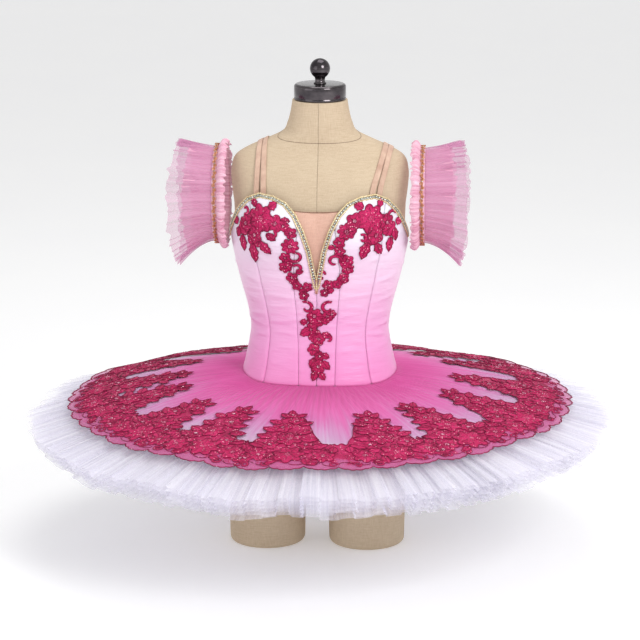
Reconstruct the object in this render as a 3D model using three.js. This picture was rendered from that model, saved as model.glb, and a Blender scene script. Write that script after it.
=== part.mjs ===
// A classical ballet tutu on a dress form: boned satin bodice, stiff tulle skirt with a lace
// border, and two separate gathered arm frills.
// Millimetres, +Z up. The front faces -Y and +X is the right-hand side seen from the front.
// The origin is on the floor, under the middle of the skirt.
import * as THREE from 'three';

// ---------- Driving dimensions ----------
const WALL = 1.8;              // satin of the bodice with its boning
const NET_WALL = 1.2;          // a layer of net or tulle
const SEAM_GAP = 0.3;          // between pieces that are sewn together
const SEAM_RADIUS = 125;       // the body's mean radius, which turns a seam's gap into an angle
const FORM_INSET = 5;          // the form is this much smaller than the body line under cloth
const INSET_FADE = { to: 675, over: 50 };  // and comes out to it over this height
const BODICE_OUT = 3.4;        // inner face of the bodice, outside the body line
const SECTION_POWER = 2.2;     // how square the body's level sections are, 2 is an ellipse
const BODY_STEPS = 40;         // facets round the form
const SKIRT_STEPS = 40;        // facets round a skirt layer
const THIGH_STEPS = 28;

const TORSO_BOTTOM = 235;
const NECK_TOP = 807;
const CAP = { radius: 46, height: 28, edge: 5 };
const FINIAL = { stem: 9.5, stemHeight: 11, ball: 18 };

// Level sections of the body line: half width, and depth to the front and to the back.
const BODY = [
  { height: 235, side: 167, front: 104, back: 122 },
  { height: 280, side: 152, front: 100, back: 116 },
  { height: 320, side: 134, front: 95, back: 106 },
  { height: 360, side: 124, front: 88, back: 94 },
  { height: 401, side: 118, front: 84, back: 86 },
  { height: 440, side: 124, front: 87, back: 87 },
  { height: 500, side: 140, front: 95, back: 91 },
  { height: 570, side: 154, front: 101, back: 96 },
  { height: 620, side: 157, front: 97, back: 98 },
  { height: 660, side: 158, front: 86, back: 95 },
  { height: 690, side: 156, front: 72, back: 86 },
  { height: 708, side: 149, front: 60, back: 76 },
  { height: 722, side: 128, front: 54, back: 67 },
  { height: 737, side: 94, front: 50, back: 58 },
  { height: 751, side: 66, front: 50, back: 52 },
  { height: 768, side: 57, front: 50, back: 50 },
  { height: 786, side: 52, front: 49, back: 49 },
  { height: 807, side: 48.5, front: 48, back: 48 },
];
const BUST = { across: 72, height: 588, rise: 22, width: 55, tall: 52 };

// Thigh ends of the form: half width and half depth at each height.
const THIGH_TOP = TORSO_BOTTOM - SEAM_GAP;
const THIGH_LEFT_ACROSS = -95;
const THIGH_RIGHT_ACROSS = 85;
const THIGH = [
  { height: 0, across: 60, deep: 66 },
  { height: 3, across: 65, deep: 71 },
  { height: 9, across: 68, deep: 74 },
  { height: 120, across: 69, deep: 80 },
  { height: THIGH_TOP, across: 67, deep: 92 },
];

// Edges of the bodice: height against the turn from centre front, in degrees.
const BASQUE_EDGE = [
  { turn: 0, height: 311 },
  { turn: 45, height: 311 },
  { turn: 90, height: 322 },
  { turn: 135, height: 318 },
  { turn: 180, height: 314 },
];
const NECK_EDGE = [
  { turn: 0, height: 488 },
  { turn: 1.9, height: 517 },
  { turn: 4.3, height: 555 },
  { turn: 8.3, height: 592 },
  { turn: 12.8, height: 620 },
  { turn: 18.4, height: 638 },
  { turn: 26.3, height: 647 },
  { turn: 36.5, height: 650 },
  { turn: 47, height: 641 },
  { turn: 58.6, height: 619 },
  { turn: 70.8, height: 588 },
  { turn: 80, height: 567 },
  { turn: 95, height: 556 },
  { turn: 130, height: 548 },
  { turn: 180, height: 545 },
];

// Seams of the bodice: their turn at the basque, waist, ribs and neckline.
const SEAM_ROWS = [0, 0.3, 0.6, 1];
const SEAMS = {
  centre: [0, 0, 0, 0],
  inner: [11.5, 14.6, 15, 10],
  princess: [41.4, 42.3, 43, 46],
  side: [93, 93, 94, 95],
  backSide: [140, 142, 141, 138],
  centreBack: [180, 180, 180, 180],
};
const PANELS = [
  { name: 'bodice_front_centre', from: 'centre', to: 'inner', columns: 4 },
  { name: 'bodice_front_princess', from: 'inner', to: 'princess', columns: 5 },
  { name: 'bodice_side', from: 'princess', to: 'side', columns: 5 },
  { name: 'bodice_back_side', from: 'side', to: 'backSide', columns: 4 },
  { name: 'bodice_back_centre', from: 'backSide', to: 'centreBack', columns: 4 },
];
const PANEL_ROWS = [0, 0.15, 0.3, 0.45, 0.58, 0.69, 0.8, 0.9, 1];

// The net insert in the plunge.
const INSERT = { halfTurn: 14.5, tuck: 8, top: 627, dip: 4, out: 0.2 };

// The beaded braid on the neckline.
const BRAID = { halfWidth: 4, thick: 2.2, clear: 2.1, lastTurn: 79, mitreUp: 13, mitreDown: 11 };
const BRAID_TURNS = [
  1.9, 4.3, 6.3, 8.3, 10.5, 12.8, 15.5, 18.4, 22, 26.3, 31, 36.5, 41.5, 47, 53, 58.6, 65, 70.8,
];

// Strands of the straps: distance across at the neckline and on the shoulder.
const STRAP = {
  halfWidth: 4.2, thick: 1.2, clear: 1.7, shoulderSlope: 0.5, steps: 20,
  slantFrom: 655, slantOver: 70,
  climb: [628, 645, 662, 680, 696, 708, 716, 722, 727],
  backEnd: [600, 566],
};
const STRANDS = [
  { name: 'strap_left_inner', cup: -95, shoulder: -96 },
  { name: 'strap_left_outer', cup: -107.5, shoulder: -105.4 },
  { name: 'strap_right_inner', cup: 96, shoulder: 117 },
  { name: 'strap_right_outer', cup: 108.5, shoulder: 126.4 },
];

// Lace motifs of the bodice: reach across at each height, on a side seen from centre front.
const APPLIQUE = { out: 7.3, thick: 1, columns: 4 };
const BUST_MOTIF = [
  { height: 636, near: 86, far: 114 },
  { height: 622, near: 66, far: 128 },
  { height: 604, near: 62, far: 134 },
  { height: 586, near: 64, far: 141 },
  { height: 568, near: 76, far: 144 },
  { height: 550, near: 86, far: 136 },
  { height: 534, near: 96, far: 116 },
];
const CHAIN_MOTIF = [
  { height: 604, near: 42, far: 56 },
  { height: 585, near: 36, far: 56 },
  { height: 566, near: 30, far: 54 },
  { height: 548, near: 25, far: 56 },
  { height: 530, near: 21, far: 57 },
  { height: 512, near: 18, far: 56 },
  { height: 495, near: 14, far: 50 },
  { height: 480, near: 10, far: 36 },
  { height: 467, near: 5, far: 22 },
];
const SPRAY_MOTIF = [
  { height: 461, near: -12, far: 12 },
  { height: 445, near: -20, far: 24 },
  { height: 428, near: -24, far: 30 },
  { height: 410, near: -30, far: 28 },
  { height: 390, near: -16, far: 26 },
  { height: 370, near: -10, far: 14 },
  { height: 350, near: -9, far: 10 },
  { height: 334, near: -13, far: 13 },
  { height: 320, near: -8, far: 8 },
];

// Arm frills. Each ring lies round an axis across the body, against the form's shoulder end.
const ARM = { height: 637, flat: 0.84, gathers: 10 };
const ARM_RINGS = [
  { name: 'arm_band', across: [166, 187], radius: [84.4, 84.4], around: 20, along: 1, wall: 1.6,
    gather: 0, drop: 0, bow: 0 },
  { name: 'arm_heading', across: [178, 160.8], radius: [87.4, 96], around: 30, along: 1, wall: NET_WALL,
    gather: 2.5, drop: 0, bow: 0 },
  { name: 'arm_braid', across: [178.6, 186.4], radius: [86.5, 86.5], around: 20, along: 1, wall: 2.2,
    gather: 0, drop: 0, bow: 0 },
  { name: 'arm_frill_under', across: [187.4, 231], radius: [81, 86], around: 30, along: 2, wall: NET_WALL,
    gather: 2.5, drop: 14, bow: 13 },
  { name: 'arm_frill_over', across: [187.4, 249], radius: [83.4, 93], around: 30, along: 2, wall: NET_WALL,
    gather: 4, drop: 30, bow: 17 },
];

// Briefs and gusset.
const BRIEFS = { out: 1, legRise: 38, bottom: TORSO_BOTTOM - 0.5, rows: 2 };
const GUSSET = { from: -24, to: 14, front: -100, back: 116, gap: 1.2 };

// Skirt layers: how far below the basque each is sewn on, and its rim.
const HIP_OUT = 3.3;
const DROOP_POWER = 1.45;      // how late the layers bend down between the hip and the rim
const RIPPLE = { start: 250, full: 520 };
const OVERSKIRT = { sewn: 1.6, rim: 455, height: 257 };
const TULLE = [
  { name: 'tulle_1', sewn: 9, rim: 521, height: 231 },
  { name: 'tulle_2', sewn: 16, rim: 519, height: 223.5 },
  { name: 'tulle_3', sewn: 23, rim: 515, height: 216 },
  { name: 'tulle_4', sewn: 30, rim: 510, height: 208 },
  { name: 'tulle_5', sewn: 37, rim: 504, height: 200 },
  { name: 'tulle_6', sewn: 44, rim: 497, height: 192 },
];
const LACE = { fingers: 16, tip: 230, valley: 365, rim: 452, scallop: 9, lift: 1.5, thick: 1, columns: 80 };

// ---------- Materials ----------
const finish = (color, roughness, metalness = 0) =>
  new THREE.MeshStandardMaterial({ color, roughness, metalness, side: THREE.DoubleSide });
const LINEN = () => finish(0xcbb798, 0.9);
const CHROME = () => finish(0x2a2a2e, 0.15, 1);
const SATIN = () => finish(0xf6b9dd, 0.45);
const NUDE = () => finish(0xe0b79e, 0.8);
const GOLD = () => finish(0xc9a56a, 0.35, 0.8);
const LACE_RED = () => finish(0xb81f55, 0.7);
const PINK_NET = () => finish(0xdd5fa8, 0.8);
const WHITE_NET = () => finish(0xf1eef6, 0.85);

// ---------- Small mathematics ----------
const radians = (degrees) => degrees * Math.PI / 180;
const mix = (a, b, t) => a + (b - a) * t;
const clamp = (x) => Math.min(1, Math.max(0, x));

// Straight-line reading of a table: the value of `field` where `key` is x.
function read(table, key, field, x) {
  let i = 1;
  while (i < table.length - 1 && table[i][key] < x) i += 1;
  const low = table[i - 1];
  const high = table[i];
  return mix(low[field], high[field], clamp((x - low[key]) / (high[key] - low[key])));
}

// The same reading along a smooth curve through the rows.
function readSmooth(table, key, field, x) {
  let i = 1;
  while (i < table.length - 1 && table[i][key] < x) i += 1;
  const a = table[i - 1];
  const b = table[i];
  const before = table[Math.max(0, i - 2)];
  const after = table[Math.min(table.length - 1, i + 1)];
  const span = b[key] - a[key];
  const slopeA = (b[field] - before[field]) / (b[key] - before[key]) * span;
  const slopeB = (after[field] - a[field]) / (after[key] - a[key]) * span;
  const t = clamp((x - a[key]) / span);
  const t2 = t * t;
  const t3 = t2 * t;
  return (2 * t3 - 3 * t2 + 1) * a[field] + (t3 - 2 * t2 + t) * slopeA
    + (3 * t2 - 2 * t3) * b[field] + (t3 - t2) * slopeB;
}

// ---------- Closed solids from grids of points ----------
// Triangles go in as fans of four-cornered faces; the solid is turned right side out at the end.
function solid(points, faces) {
  const positions = points.flatMap((p) => [p.x, p.y, p.z]);
  const index = [];
  for (const face of faces) {
    for (let k = 2; k < face.length; k += 1) index.push(face[0], face[k - 1], face[k]);
  }
  let volume = 0;
  for (let k = 0; k < index.length; k += 3) {
    const [a, b, c] = [points[index[k]], points[index[k + 1]], points[index[k + 2]]];
    volume += a.dot(new THREE.Vector3().crossVectors(b, c));
  }
  if (volume < 0) index.reverse();
  const geometry = new THREE.BufferGeometry();
  geometry.setAttribute('position', new THREE.Float32BufferAttribute(positions, 3));
  geometry.setIndex(index);
  geometry.computeVertexNormals();
  return geometry;
}

// A cloth wall: face(u, v, side) gives its outer face for side 1 and its inner face for side 0.
// us and vs are the grid's stations; a closed wall joins its last column to its first.
function wall(us, vs, closed, face) {
  const points = [];
  for (const side of [1, 0]) {
    for (const u of us) {
      for (const v of vs) points.push(face(u, v, side));
    }
  }
  const layer = us.length * vs.length;
  const at = (i, j, side) => (side ? 0 : layer) + (i % us.length) * vs.length + j;
  const faces = [];
  const spans = closed ? us.length : us.length - 1;
  const top = vs.length - 1;
  for (let i = 0; i < spans; i += 1) {
    for (let j = 0; j < top; j += 1) {
      faces.push([at(i, j + 1, 1), at(i, j, 1), at(i + 1, j, 1), at(i + 1, j + 1, 1)]);
      faces.push([at(i, j + 1, 0), at(i + 1, j + 1, 0), at(i + 1, j, 0), at(i, j, 0)]);
    }
    faces.push([at(i, 0, 0), at(i + 1, 0, 0), at(i + 1, 0, 1), at(i, 0, 1)]);
    faces.push([at(i, top, 1), at(i + 1, top, 1), at(i + 1, top, 0), at(i, top, 0)]);
  }
  if (!closed) {
    const end = us.length - 1;
    for (let j = 0; j < top; j += 1) {
      faces.push([at(0, j, 1), at(0, j + 1, 1), at(0, j + 1, 0), at(0, j, 0)]);
      faces.push([at(end, j, 0), at(end, j + 1, 0), at(end, j + 1, 1), at(end, j, 1)]);
    }
  }
  return solid(points, faces);
}

// A solid through closed level rings, with flat ends.
function loft(rings) {
  const count = rings[0].length;
  const points = rings.flat();
  const faces = [];
  for (let j = 0; j < rings.length - 1; j += 1) {
    for (let i = 0; i < count; i += 1) {
      const next = (i + 1) % count;
      faces.push([j * count + i, j * count + next, (j + 1) * count + next, (j + 1) * count + i]);
    }
  }
  const last = (rings.length - 1) * count;
  faces.push(Array.from({ length: count }, (_, i) => count - 1 - i));
  faces.push(Array.from({ length: count }, (_, i) => last + i));
  return solid(points, faces);
}

const stations = (count) => Array.from({ length: count + 1 }, (_, i) => i / count);
const turns = (count) => Array.from({ length: count }, (_, i) => i * 360 / count);

// ---------- The body line ----------
// A point at a turn from centre front and a height, `out` outside the body line.
function bodyPoint(turn, height, out, rise = BUST.rise) {
  const side = readSmooth(BODY, 'height', 'side', height);
  const front = readSmooth(BODY, 'height', 'front', height);
  const back = readSmooth(BODY, 'height', 'back', height);
  const round = (angle) => {
    const s = Math.sin(angle);
    const c = Math.cos(angle);
    const x = side * Math.sign(s) * Math.abs(s) ** (2 / SECTION_POWER);
    const deep = (c > 0 ? front : back) * Math.abs(c) ** (2 / SECTION_POWER);
    const near = Math.exp(-(((Math.abs(x) - BUST.across) / BUST.width) ** 2));
    const level = Math.exp(-(((height - BUST.height) / BUST.tall) ** 2));
    const bust = rise * near * level * clamp(c * 3);
    return new THREE.Vector3(x, c > 0 ? -deep - bust : deep, height);
  };
  const angle = radians(turn);
  const along = round(angle + 0.01).sub(round(angle - 0.01));
  const outward = new THREE.Vector3(along.y, -along.x, 0).normalize();
  return round(angle).addScaledVector(outward, out);
}

// The turn at which the body line is `across` from the middle.
function turnAt(across, height) {
  const side = readSmooth(BODY, 'height', 'side', height);
  const sine = Math.min(1, Math.abs(across) / side) ** (SECTION_POWER / 2);
  return Math.sign(across) * Math.asin(sine) * 180 / Math.PI;
}

const basque = (turn) => readSmooth(BASQUE_EDGE, 'turn', 'height', foldTurn(turn));
const neckline = (turn) => read(NECK_EDGE, 'turn', 'height', foldTurn(turn));

// Any turn folded to 0 to 180 degrees from centre front.
function foldTurn(turn) {
  const around = ((turn % 360) + 360) % 360;
  return around > 180 ? 360 - around : around;
}

// ---------- The dress form ----------
function torso() {
  const heights = [TORSO_BOTTOM, 270, 300, 330, 365, 401, 440, 480, 520, 560, 600, 635, 660, 682, 699,
    710, 719, 728, 737, 745, 753, 764, 785, NECK_TOP];
  return loft(heights.map((height) => {
    const inset = FORM_INSET * clamp((INSET_FADE.to - height) / INSET_FADE.over);
    return turns(BODY_STEPS).map((turn) => bodyPoint(turn, height, -inset, BUST.rise / 2));
  }));
}

function thigh(across) {
  return loft(THIGH.map((row) => turns(THIGH_STEPS).map((turn) => new THREE.Vector3(
    across + row.across * Math.sin(radians(turn)),
    -row.deep * Math.cos(radians(turn)),
    row.height,
  ))));
}

// A turned piece: profile points are (radius, height) from the axis at the bottom to the axis at the top.
function turned(profile, steps) {
  const lathe = new THREE.LatheGeometry(profile.map(([r, h]) => new THREE.Vector2(r, h)), steps);
  return lathe.rotateX(Math.PI / 2);
}

function neckCap() {
  const low = NECK_TOP + SEAM_GAP;
  const high = low + CAP.height;
  const corner = [0, 30, 60, 90].map((a) => [
    CAP.radius - CAP.edge * (1 - Math.cos(radians(a))),
    high - CAP.edge * (1 - Math.sin(radians(a))),
  ]);
  return turned([[0, low], [CAP.radius, low], ...corner, [0, high]], 32);
}

function finial() {
  const low = NECK_TOP + CAP.height + 2 * SEAM_GAP;
  const centre = low + FINIAL.stemHeight + FINIAL.ball * 0.85;
  const start = Math.asin(FINIAL.stem / FINIAL.ball) * 180 / Math.PI;
  const arc = stations(9).slice(0, -1).map((t) => {
    const a = radians(mix(start, 180, t));
    return [FINIAL.ball * Math.sin(a), centre - FINIAL.ball * Math.cos(a)];
  });
  return turned([[0, low], [FINIAL.stem, low], ...arc, [0, centre + FINIAL.ball]], 20);
}

// ---------- The bodice ----------
const seamTurn = (seam, v) => {
  let i = 1;
  while (i < SEAM_ROWS.length - 1 && SEAM_ROWS[i] < v) i += 1;
  const t = (v - SEAM_ROWS[i - 1]) / (SEAM_ROWS[i] - SEAM_ROWS[i - 1]);
  return mix(SEAMS[seam][i - 1], SEAMS[seam][i], t);
};

function panel({ from, to, columns }, hand) {
  const halfGap = SEAM_GAP / 2 / SEAM_RADIUS * 180 / Math.PI;
  return wall(stations(columns), PANEL_ROWS, false, (u, v, side) => {
    const turn = mix(seamTurn(from, v) + halfGap, seamTurn(to, v) - halfGap, u);
    const height = mix(basque(turn), neckline(turn), v);
    return bodyPoint(hand * turn, height, BODICE_OUT + WALL * side);
  });
}

function plungeInsert() {
  return wall(stations(8), stations(4), false, (u, v, side) => {
    const turn = mix(-INSERT.halfTurn, INSERT.halfTurn, u);
    const low = Math.min(neckline(turn) - INSERT.tuck, INSERT.top - 14);
    const high = INSERT.top - INSERT.dip * Math.cos(radians(turn * 90 / INSERT.halfTurn));
    return bodyPoint(turn, mix(low, high, v), INSERT.out + NET_WALL * side);
  });
}

// The braid's cross-section is carried along the neckline and mitred at the point of the plunge.
function necklineBraid(hand) {
  const out = BODICE_OUT + WALL + BRAID.clear;
  const sections = [];
  const start = bodyPoint(0, NECK_EDGE[0].height, out);
  start.x = hand * SEAM_GAP / 2;
  const upright = new THREE.Vector3(0, 0, 1);
  sections.push({ centre: start, up: BRAID.mitreUp, down: BRAID.mitreDown, across: upright });
  const turnsAlong = [...BRAID_TURNS, BRAID.lastTurn];
  turnsAlong.forEach((turn, i) => {
    const before = i ? turnsAlong[i - 1] : 0;
    const after = turnsAlong[i + 1] ?? turn + 1;
    const centre = bodyPoint(hand * turn, neckline(turn), out);
    const along = bodyPoint(hand * after, neckline(after), out)
      .sub(bodyPoint(hand * before, neckline(before), out)).normalize();
    const outward = bodyPoint(hand * turn, neckline(turn), out + 1).sub(centre);
    const across = new THREE.Vector3().crossVectors(outward, along).normalize().multiplyScalar(-hand);
    sections.push({ centre, up: BRAID.halfWidth, down: BRAID.halfWidth, across, outward });
  });
  sections[0].outward = sections[1].outward;
  return wall(sections, [0, 1], false, (section, v, side) => {
    const shift = mix(-section.down, section.up, v);
    const point = section.centre.clone().addScaledVector(section.across, shift);
    return point.addScaledVector(section.outward, BRAID.thick * side);
  });
}

// A flat motif of lace on the bodice, from its reach at each height.
function applique(rows, hand) {
  return wall(stations(APPLIQUE.columns), rows, false, (u, row, side) => {
    const turn = hand * turnAt(mix(row.near, row.far, u), row.height);
    return bodyPoint(turn, row.height, APPLIQUE.out + APPLIQUE.thick * side);
  });
}

// A strand of elastic runs inside the cup, up the chest, over the shoulder and down the back.
function strap({ cup, shoulder }) {
  const onForm = (height, back) => {
    const across = mix(cup, shoulder, clamp((height - STRAP.slantFrom) / STRAP.slantOver));
    const turn = turnAt(across, height);
    const point = bodyPoint(back ? 180 - turn : turn, height, 0, BUST.rise / 2);
    return new THREE.Vector3(across, point.y, height);
  };
  const sideAt = (height) => readSmooth(BODY, 'height', 'side', height);
  const climb = STRAP.climb.filter((height) => sideAt(height) > Math.abs(shoulder) + 3);
  let crest = climb[climb.length - 1];
  while (sideAt(crest) > Math.abs(shoulder)) crest += 0.5;
  const path = [
    ...climb.map((height) => onForm(height, false)),
    new THREE.Vector3(shoulder, 0, crest),
    ...[...climb].reverse().map((height) => onForm(height, true)),
    ...STRAP.backEnd.map((height) => onForm(height, true)),
  ];
  const spine = new THREE.CatmullRomCurve3(path, false, 'centripetal');
  return wall(stations(STRAP.steps), [-1, 1], false, (t, v, side) => {
    const along = spine.getTangentAt(t);
    const outward = new THREE.Vector3().crossVectors(new THREE.Vector3(1, 0, 0), along).normalize();
    const tilt = -Math.sign(shoulder) * STRAP.shoulderSlope * Math.max(0, outward.z);
    const across = new THREE.Vector3(1, 0, tilt).normalize();
    const point = spine.getPointAt(t).addScaledVector(across, v * STRAP.halfWidth);
    return point.addScaledVector(outward, STRAP.clear + STRAP.thick * side);
  });
}

// ---------- Arm frills ----------
// A ring of cloth round the arm axis. Round is measured from the top towards the front.
function armRing(ring, hand) {
  return wall(turns(ring.around), stations(ring.along), true, (round, v, side) => {
    const angle = radians(round);
    const loose = v * v;
    const gather = ring.gather * loose * Math.cos(radians(round * ARM.gathers));
    const droop = ring.drop * loose * (1 - Math.cos(angle)) / 2;
    const radius = mix(ring.radius[0], ring.radius[1], v) + gather + droop + ring.wall * side;
    const bow = ring.bow * loose * Math.abs(Math.sin(angle));
    const across = mix(ring.across[0], ring.across[1], v) + bow;
    return new THREE.Vector3(
      hand * across,
      -radius * ARM.flat * Math.sin(angle),
      ARM.height + radius * Math.cos(angle),
    );
  });
}

// ---------- Skirt ----------
// The largest folds of the skirt, read at the facet lines so that all layers share them.
function ripple(turn, radius) {
  const step = 360 / SKIRT_STEPS;
  const wave = (t) => 3 * Math.cos(radians(13 * t + 20)) + 2.2 * Math.cos(radians(9 * t - 60))
    - 7 * Math.cos(radians(2 * t)) + 5 * Math.sin(radians(t));
  const low = Math.floor(turn / step) * step;
  const size = clamp((radius - RIPPLE.start) / (RIPPLE.full - RIPPLE.start)) ** 2;
  return size * mix(wave(low), wave(low + step), (turn - low) / step);
}

// A point on a skirt layer: `radius` from the axis, or null for where it is sewn on.
function skirtPoint(layer, turn, radius, lift) {
  const sewnHeight = basque(turn) - layer.sewn;
  const hip = bodyPoint(turn, sewnHeight, HIP_OUT);
  if (radius === null) return hip.add(new THREE.Vector3(0, 0, lift));
  const start = Math.hypot(hip.x, hip.y);
  const out = (radius - start) / (layer.rim - start);
  const drop = (sewnHeight - layer.height) * clamp(out) ** DROOP_POWER;
  const angle = radians(turn);
  const lean = Math.atan2(hip.x, -hip.y) - angle;
  const rimward = angle + Math.atan2(Math.sin(lean), Math.cos(lean)) * (1 - clamp(out * 3));
  return new THREE.Vector3(
    radius * Math.sin(rimward),
    -radius * Math.cos(rimward),
    sewnHeight - drop + ripple(turn, radius) + lift,
  );
}

function skirtLayer(layer, rows) {
  return wall(turns(SKIRT_STEPS), rows, true, (turn, row, side) => {
    const lift = NET_WALL * side - NET_WALL;
    if (row === 0) return skirtPoint(layer, turn, null, lift);
    const hip = skirtPoint(layer, turn, null, 0);
    const start = Math.hypot(hip.x, hip.y);
    return skirtPoint(layer, turn, mix(start, layer.rim, row), lift);
  });
}

// The lace border lies on the top net: fingers point to the waist and the rim is scalloped.
function laceBorder() {
  return wall(turns(LACE.columns), [0, 0.5, 1], true, (turn, v, side) => {
    const phase = ((turn * LACE.fingers / 360 + 0.5) % 1) - 0.5;
    const finger = Math.cos(Math.PI * phase) ** 1.6;
    const inner = mix(LACE.valley, LACE.tip, finger);
    const outer = LACE.rim - LACE.scallop * Math.abs(Math.sin(Math.PI * 3 * phase));
    return skirtPoint(OVERSKIRT, turn, mix(inner, outer, v), LACE.lift + LACE.thick * side);
  });
}

function briefs() {
  return wall(turns(SKIRT_STEPS), stations(BRIEFS.rows), true, (turn, v, side) => {
    const low = BRIEFS.bottom + BRIEFS.legRise * Math.sin(radians(turn)) ** 2;
    const high = basque(turn) - SEAM_GAP;
    return bodyPoint(turn, mix(low, high, v), BRIEFS.out + NET_WALL * side);
  });
}

function gusset() {
  const strip = new THREE.BoxGeometry(GUSSET.to - GUSSET.from, GUSSET.back - GUSSET.front, NET_WALL);
  const middle = TORSO_BOTTOM - GUSSET.gap - NET_WALL / 2;
  return strip.translate((GUSSET.from + GUSSET.to) / 2, (GUSSET.front + GUSSET.back) / 2, middle);
}

// ---------- Assembly ----------
const tutu = new THREE.Group();
function add(name, geometry, material) {
  const mesh = new THREE.Mesh(geometry, material);
  mesh.name = name;
  tutu.add(mesh);
}

add('form_torso', torso(), LINEN());
add('form_thigh_left', thigh(THIGH_LEFT_ACROSS), LINEN());
add('form_thigh_right', thigh(THIGH_RIGHT_ACROSS), LINEN());
add('neck_cap', neckCap(), CHROME());
add('finial', finial(), CHROME());

for (const [hand, label] of [[-1, 'left'], [1, 'right']]) {
  for (const piece of PANELS) add(`${piece.name}_${label}`, panel(piece, hand), SATIN());
  add(`neckline_braid_${label}`, necklineBraid(hand), GOLD());
  add(`applique_bust_${label}`, applique(BUST_MOTIF, hand), LACE_RED());
  add(`applique_chain_${label}`, applique(CHAIN_MOTIF, hand), LACE_RED());
  for (const ring of ARM_RINGS) {
    add(`${ring.name}_${label}`, armRing(ring, hand), ring.name === 'arm_braid' ? GOLD() : PINK_NET());
  }
}
add('plunge_insert', plungeInsert(), NUDE());
add('applique_spray_centre', applique(SPRAY_MOTIF, 1), LACE_RED());
for (const strand of STRANDS) add(strand.name, strap(strand), NUDE());
add('briefs', briefs(), WHITE_NET());
add('briefs_gusset', gusset(), WHITE_NET());
add('overskirt', skirtLayer(OVERSKIRT, [0, 0.33, 0.67, 1]), PINK_NET());
add('lace_border', laceBorder(), LACE_RED());
for (const layer of TULLE) add(layer.name, skirtLayer(layer, [0, 0.5, 1]), WHITE_NET());

export default tutu;
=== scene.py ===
"""A ballet tutu on its dress form: satin bodice, stiff tulle skirt with a lace border, arm frills.

Lengths in the tables and shape functions are millimetres; `build` turns them into metres.
The front of the garment faces -Y. A turn is the angle round the body from centre front, in
degrees, and grows towards +X.
"""
import math

import bpy
import numpy as np
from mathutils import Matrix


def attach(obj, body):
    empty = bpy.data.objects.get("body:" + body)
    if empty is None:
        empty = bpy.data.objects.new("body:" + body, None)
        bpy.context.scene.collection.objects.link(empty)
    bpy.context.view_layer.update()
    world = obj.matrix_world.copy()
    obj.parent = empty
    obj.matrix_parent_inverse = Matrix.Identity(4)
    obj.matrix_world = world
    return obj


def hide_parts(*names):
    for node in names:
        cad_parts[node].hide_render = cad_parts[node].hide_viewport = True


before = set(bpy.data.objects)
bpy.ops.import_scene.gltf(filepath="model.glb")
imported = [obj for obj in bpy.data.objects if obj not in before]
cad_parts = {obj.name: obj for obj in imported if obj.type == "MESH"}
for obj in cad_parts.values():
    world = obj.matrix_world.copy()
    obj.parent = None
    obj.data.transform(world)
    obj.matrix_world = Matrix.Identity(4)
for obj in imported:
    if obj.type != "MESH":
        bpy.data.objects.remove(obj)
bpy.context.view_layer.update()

MM = 0.001
DEGREE = math.pi / 180
SCENE = bpy.context.scene

# ---------------------------------------------------------------- sizes, as in the part
BODY = np.array([  # height, half width, depth to the front, depth to the back
    (235, 167, 104, 122), (280, 152, 100, 116), (320, 134, 95, 106), (360, 124, 88, 94),
    (401, 118, 84, 86), (440, 124, 87, 87), (500, 140, 95, 91), (570, 154, 101, 96),
    (620, 157, 97, 98), (660, 158, 86, 95), (690, 156, 72, 86), (708, 149, 60, 76),
    (722, 128, 54, 67), (737, 94, 50, 58), (751, 66, 50, 52), (768, 57, 50, 50),
    (786, 52, 49, 49), (807, 48.5, 48, 48),
], float)
SECTION_POWER = 2.2
BUST = dict(across=72.0, height=588.0, rise=22.0, width=55.0, tall=52.0)
FORM_INSET = 5.0
NECK_TOP = 807.0
TORSO_BOTTOM = 235.0
BODICE_OUT = 3.4
WALL = 1.8

BASQUE_EDGE = np.array([(0, 311), (45, 311), (90, 322), (135, 318), (180, 314)], float)
NECK_EDGE = np.array([  # turn, height of the bodice's top edge
    (0, 488), (1.9, 517), (4.3, 555), (8.3, 592), (12.8, 620), (18.4, 638), (26.3, 647),
    (36.5, 650), (47, 641), (58.6, 619), (70.8, 588), (80, 567), (95, 556), (130, 548), (180, 545),
], float)
SEAM_LEVELS = np.array([0, 0.3, 0.6, 1])
SEAMS = {
    "centre": (0, 0, 0, 0), "inner": (11.5, 14.6, 15, 10), "princess": (41.4, 42.3, 43, 46),
    "side": (93, 93, 94, 95), "back_side": (140, 142, 141, 138), "centre_back": (180,) * 4,
}
PANELS = (("bodice_front_centre", "centre", "inner"), ("bodice_front_princess", "inner", "princess"),
          ("bodice_side", "princess", "side"), ("bodice_back_side", "side", "back_side"),
          ("bodice_back_centre", "back_side", "centre_back"))
ARM_HEIGHT = 637.0
ARM_FLAT = 0.84
OVERSKIRT = dict(sewn=1.6, rim=455.0, height=257.0)
TULLE = [dict(sewn=9, rim=521.0, height=231.0), dict(sewn=16, rim=519.0, height=223.5),
         dict(sewn=23, rim=515.0, height=216.0), dict(sewn=30, rim=510.0, height=208.0),
         dict(sewn=37, rim=504.0, height=200.0), dict(sewn=44, rim=497.0, height=192.0)]
HIP_OUT = 3.3
DROOP_POWER = 1.45


def srgb(red, green, blue, alpha=1.0):
    """A colour named by its 0 to 255 screen values, in the linear values that shaders take."""
    scaled = np.array([red, green, blue]) / 255
    linear = np.where(scaled <= 0.04045, scaled / 12.92, ((scaled + 0.055) / 1.055) ** 2.4)
    return (*[float(x) for x in linear], alpha)


# ---------------------------------------------------------------- camera, light, floor
VIEW = dict(turn=3.5, rise=13.0, distance=5.5, width=1.146, middle=0.408)


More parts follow.
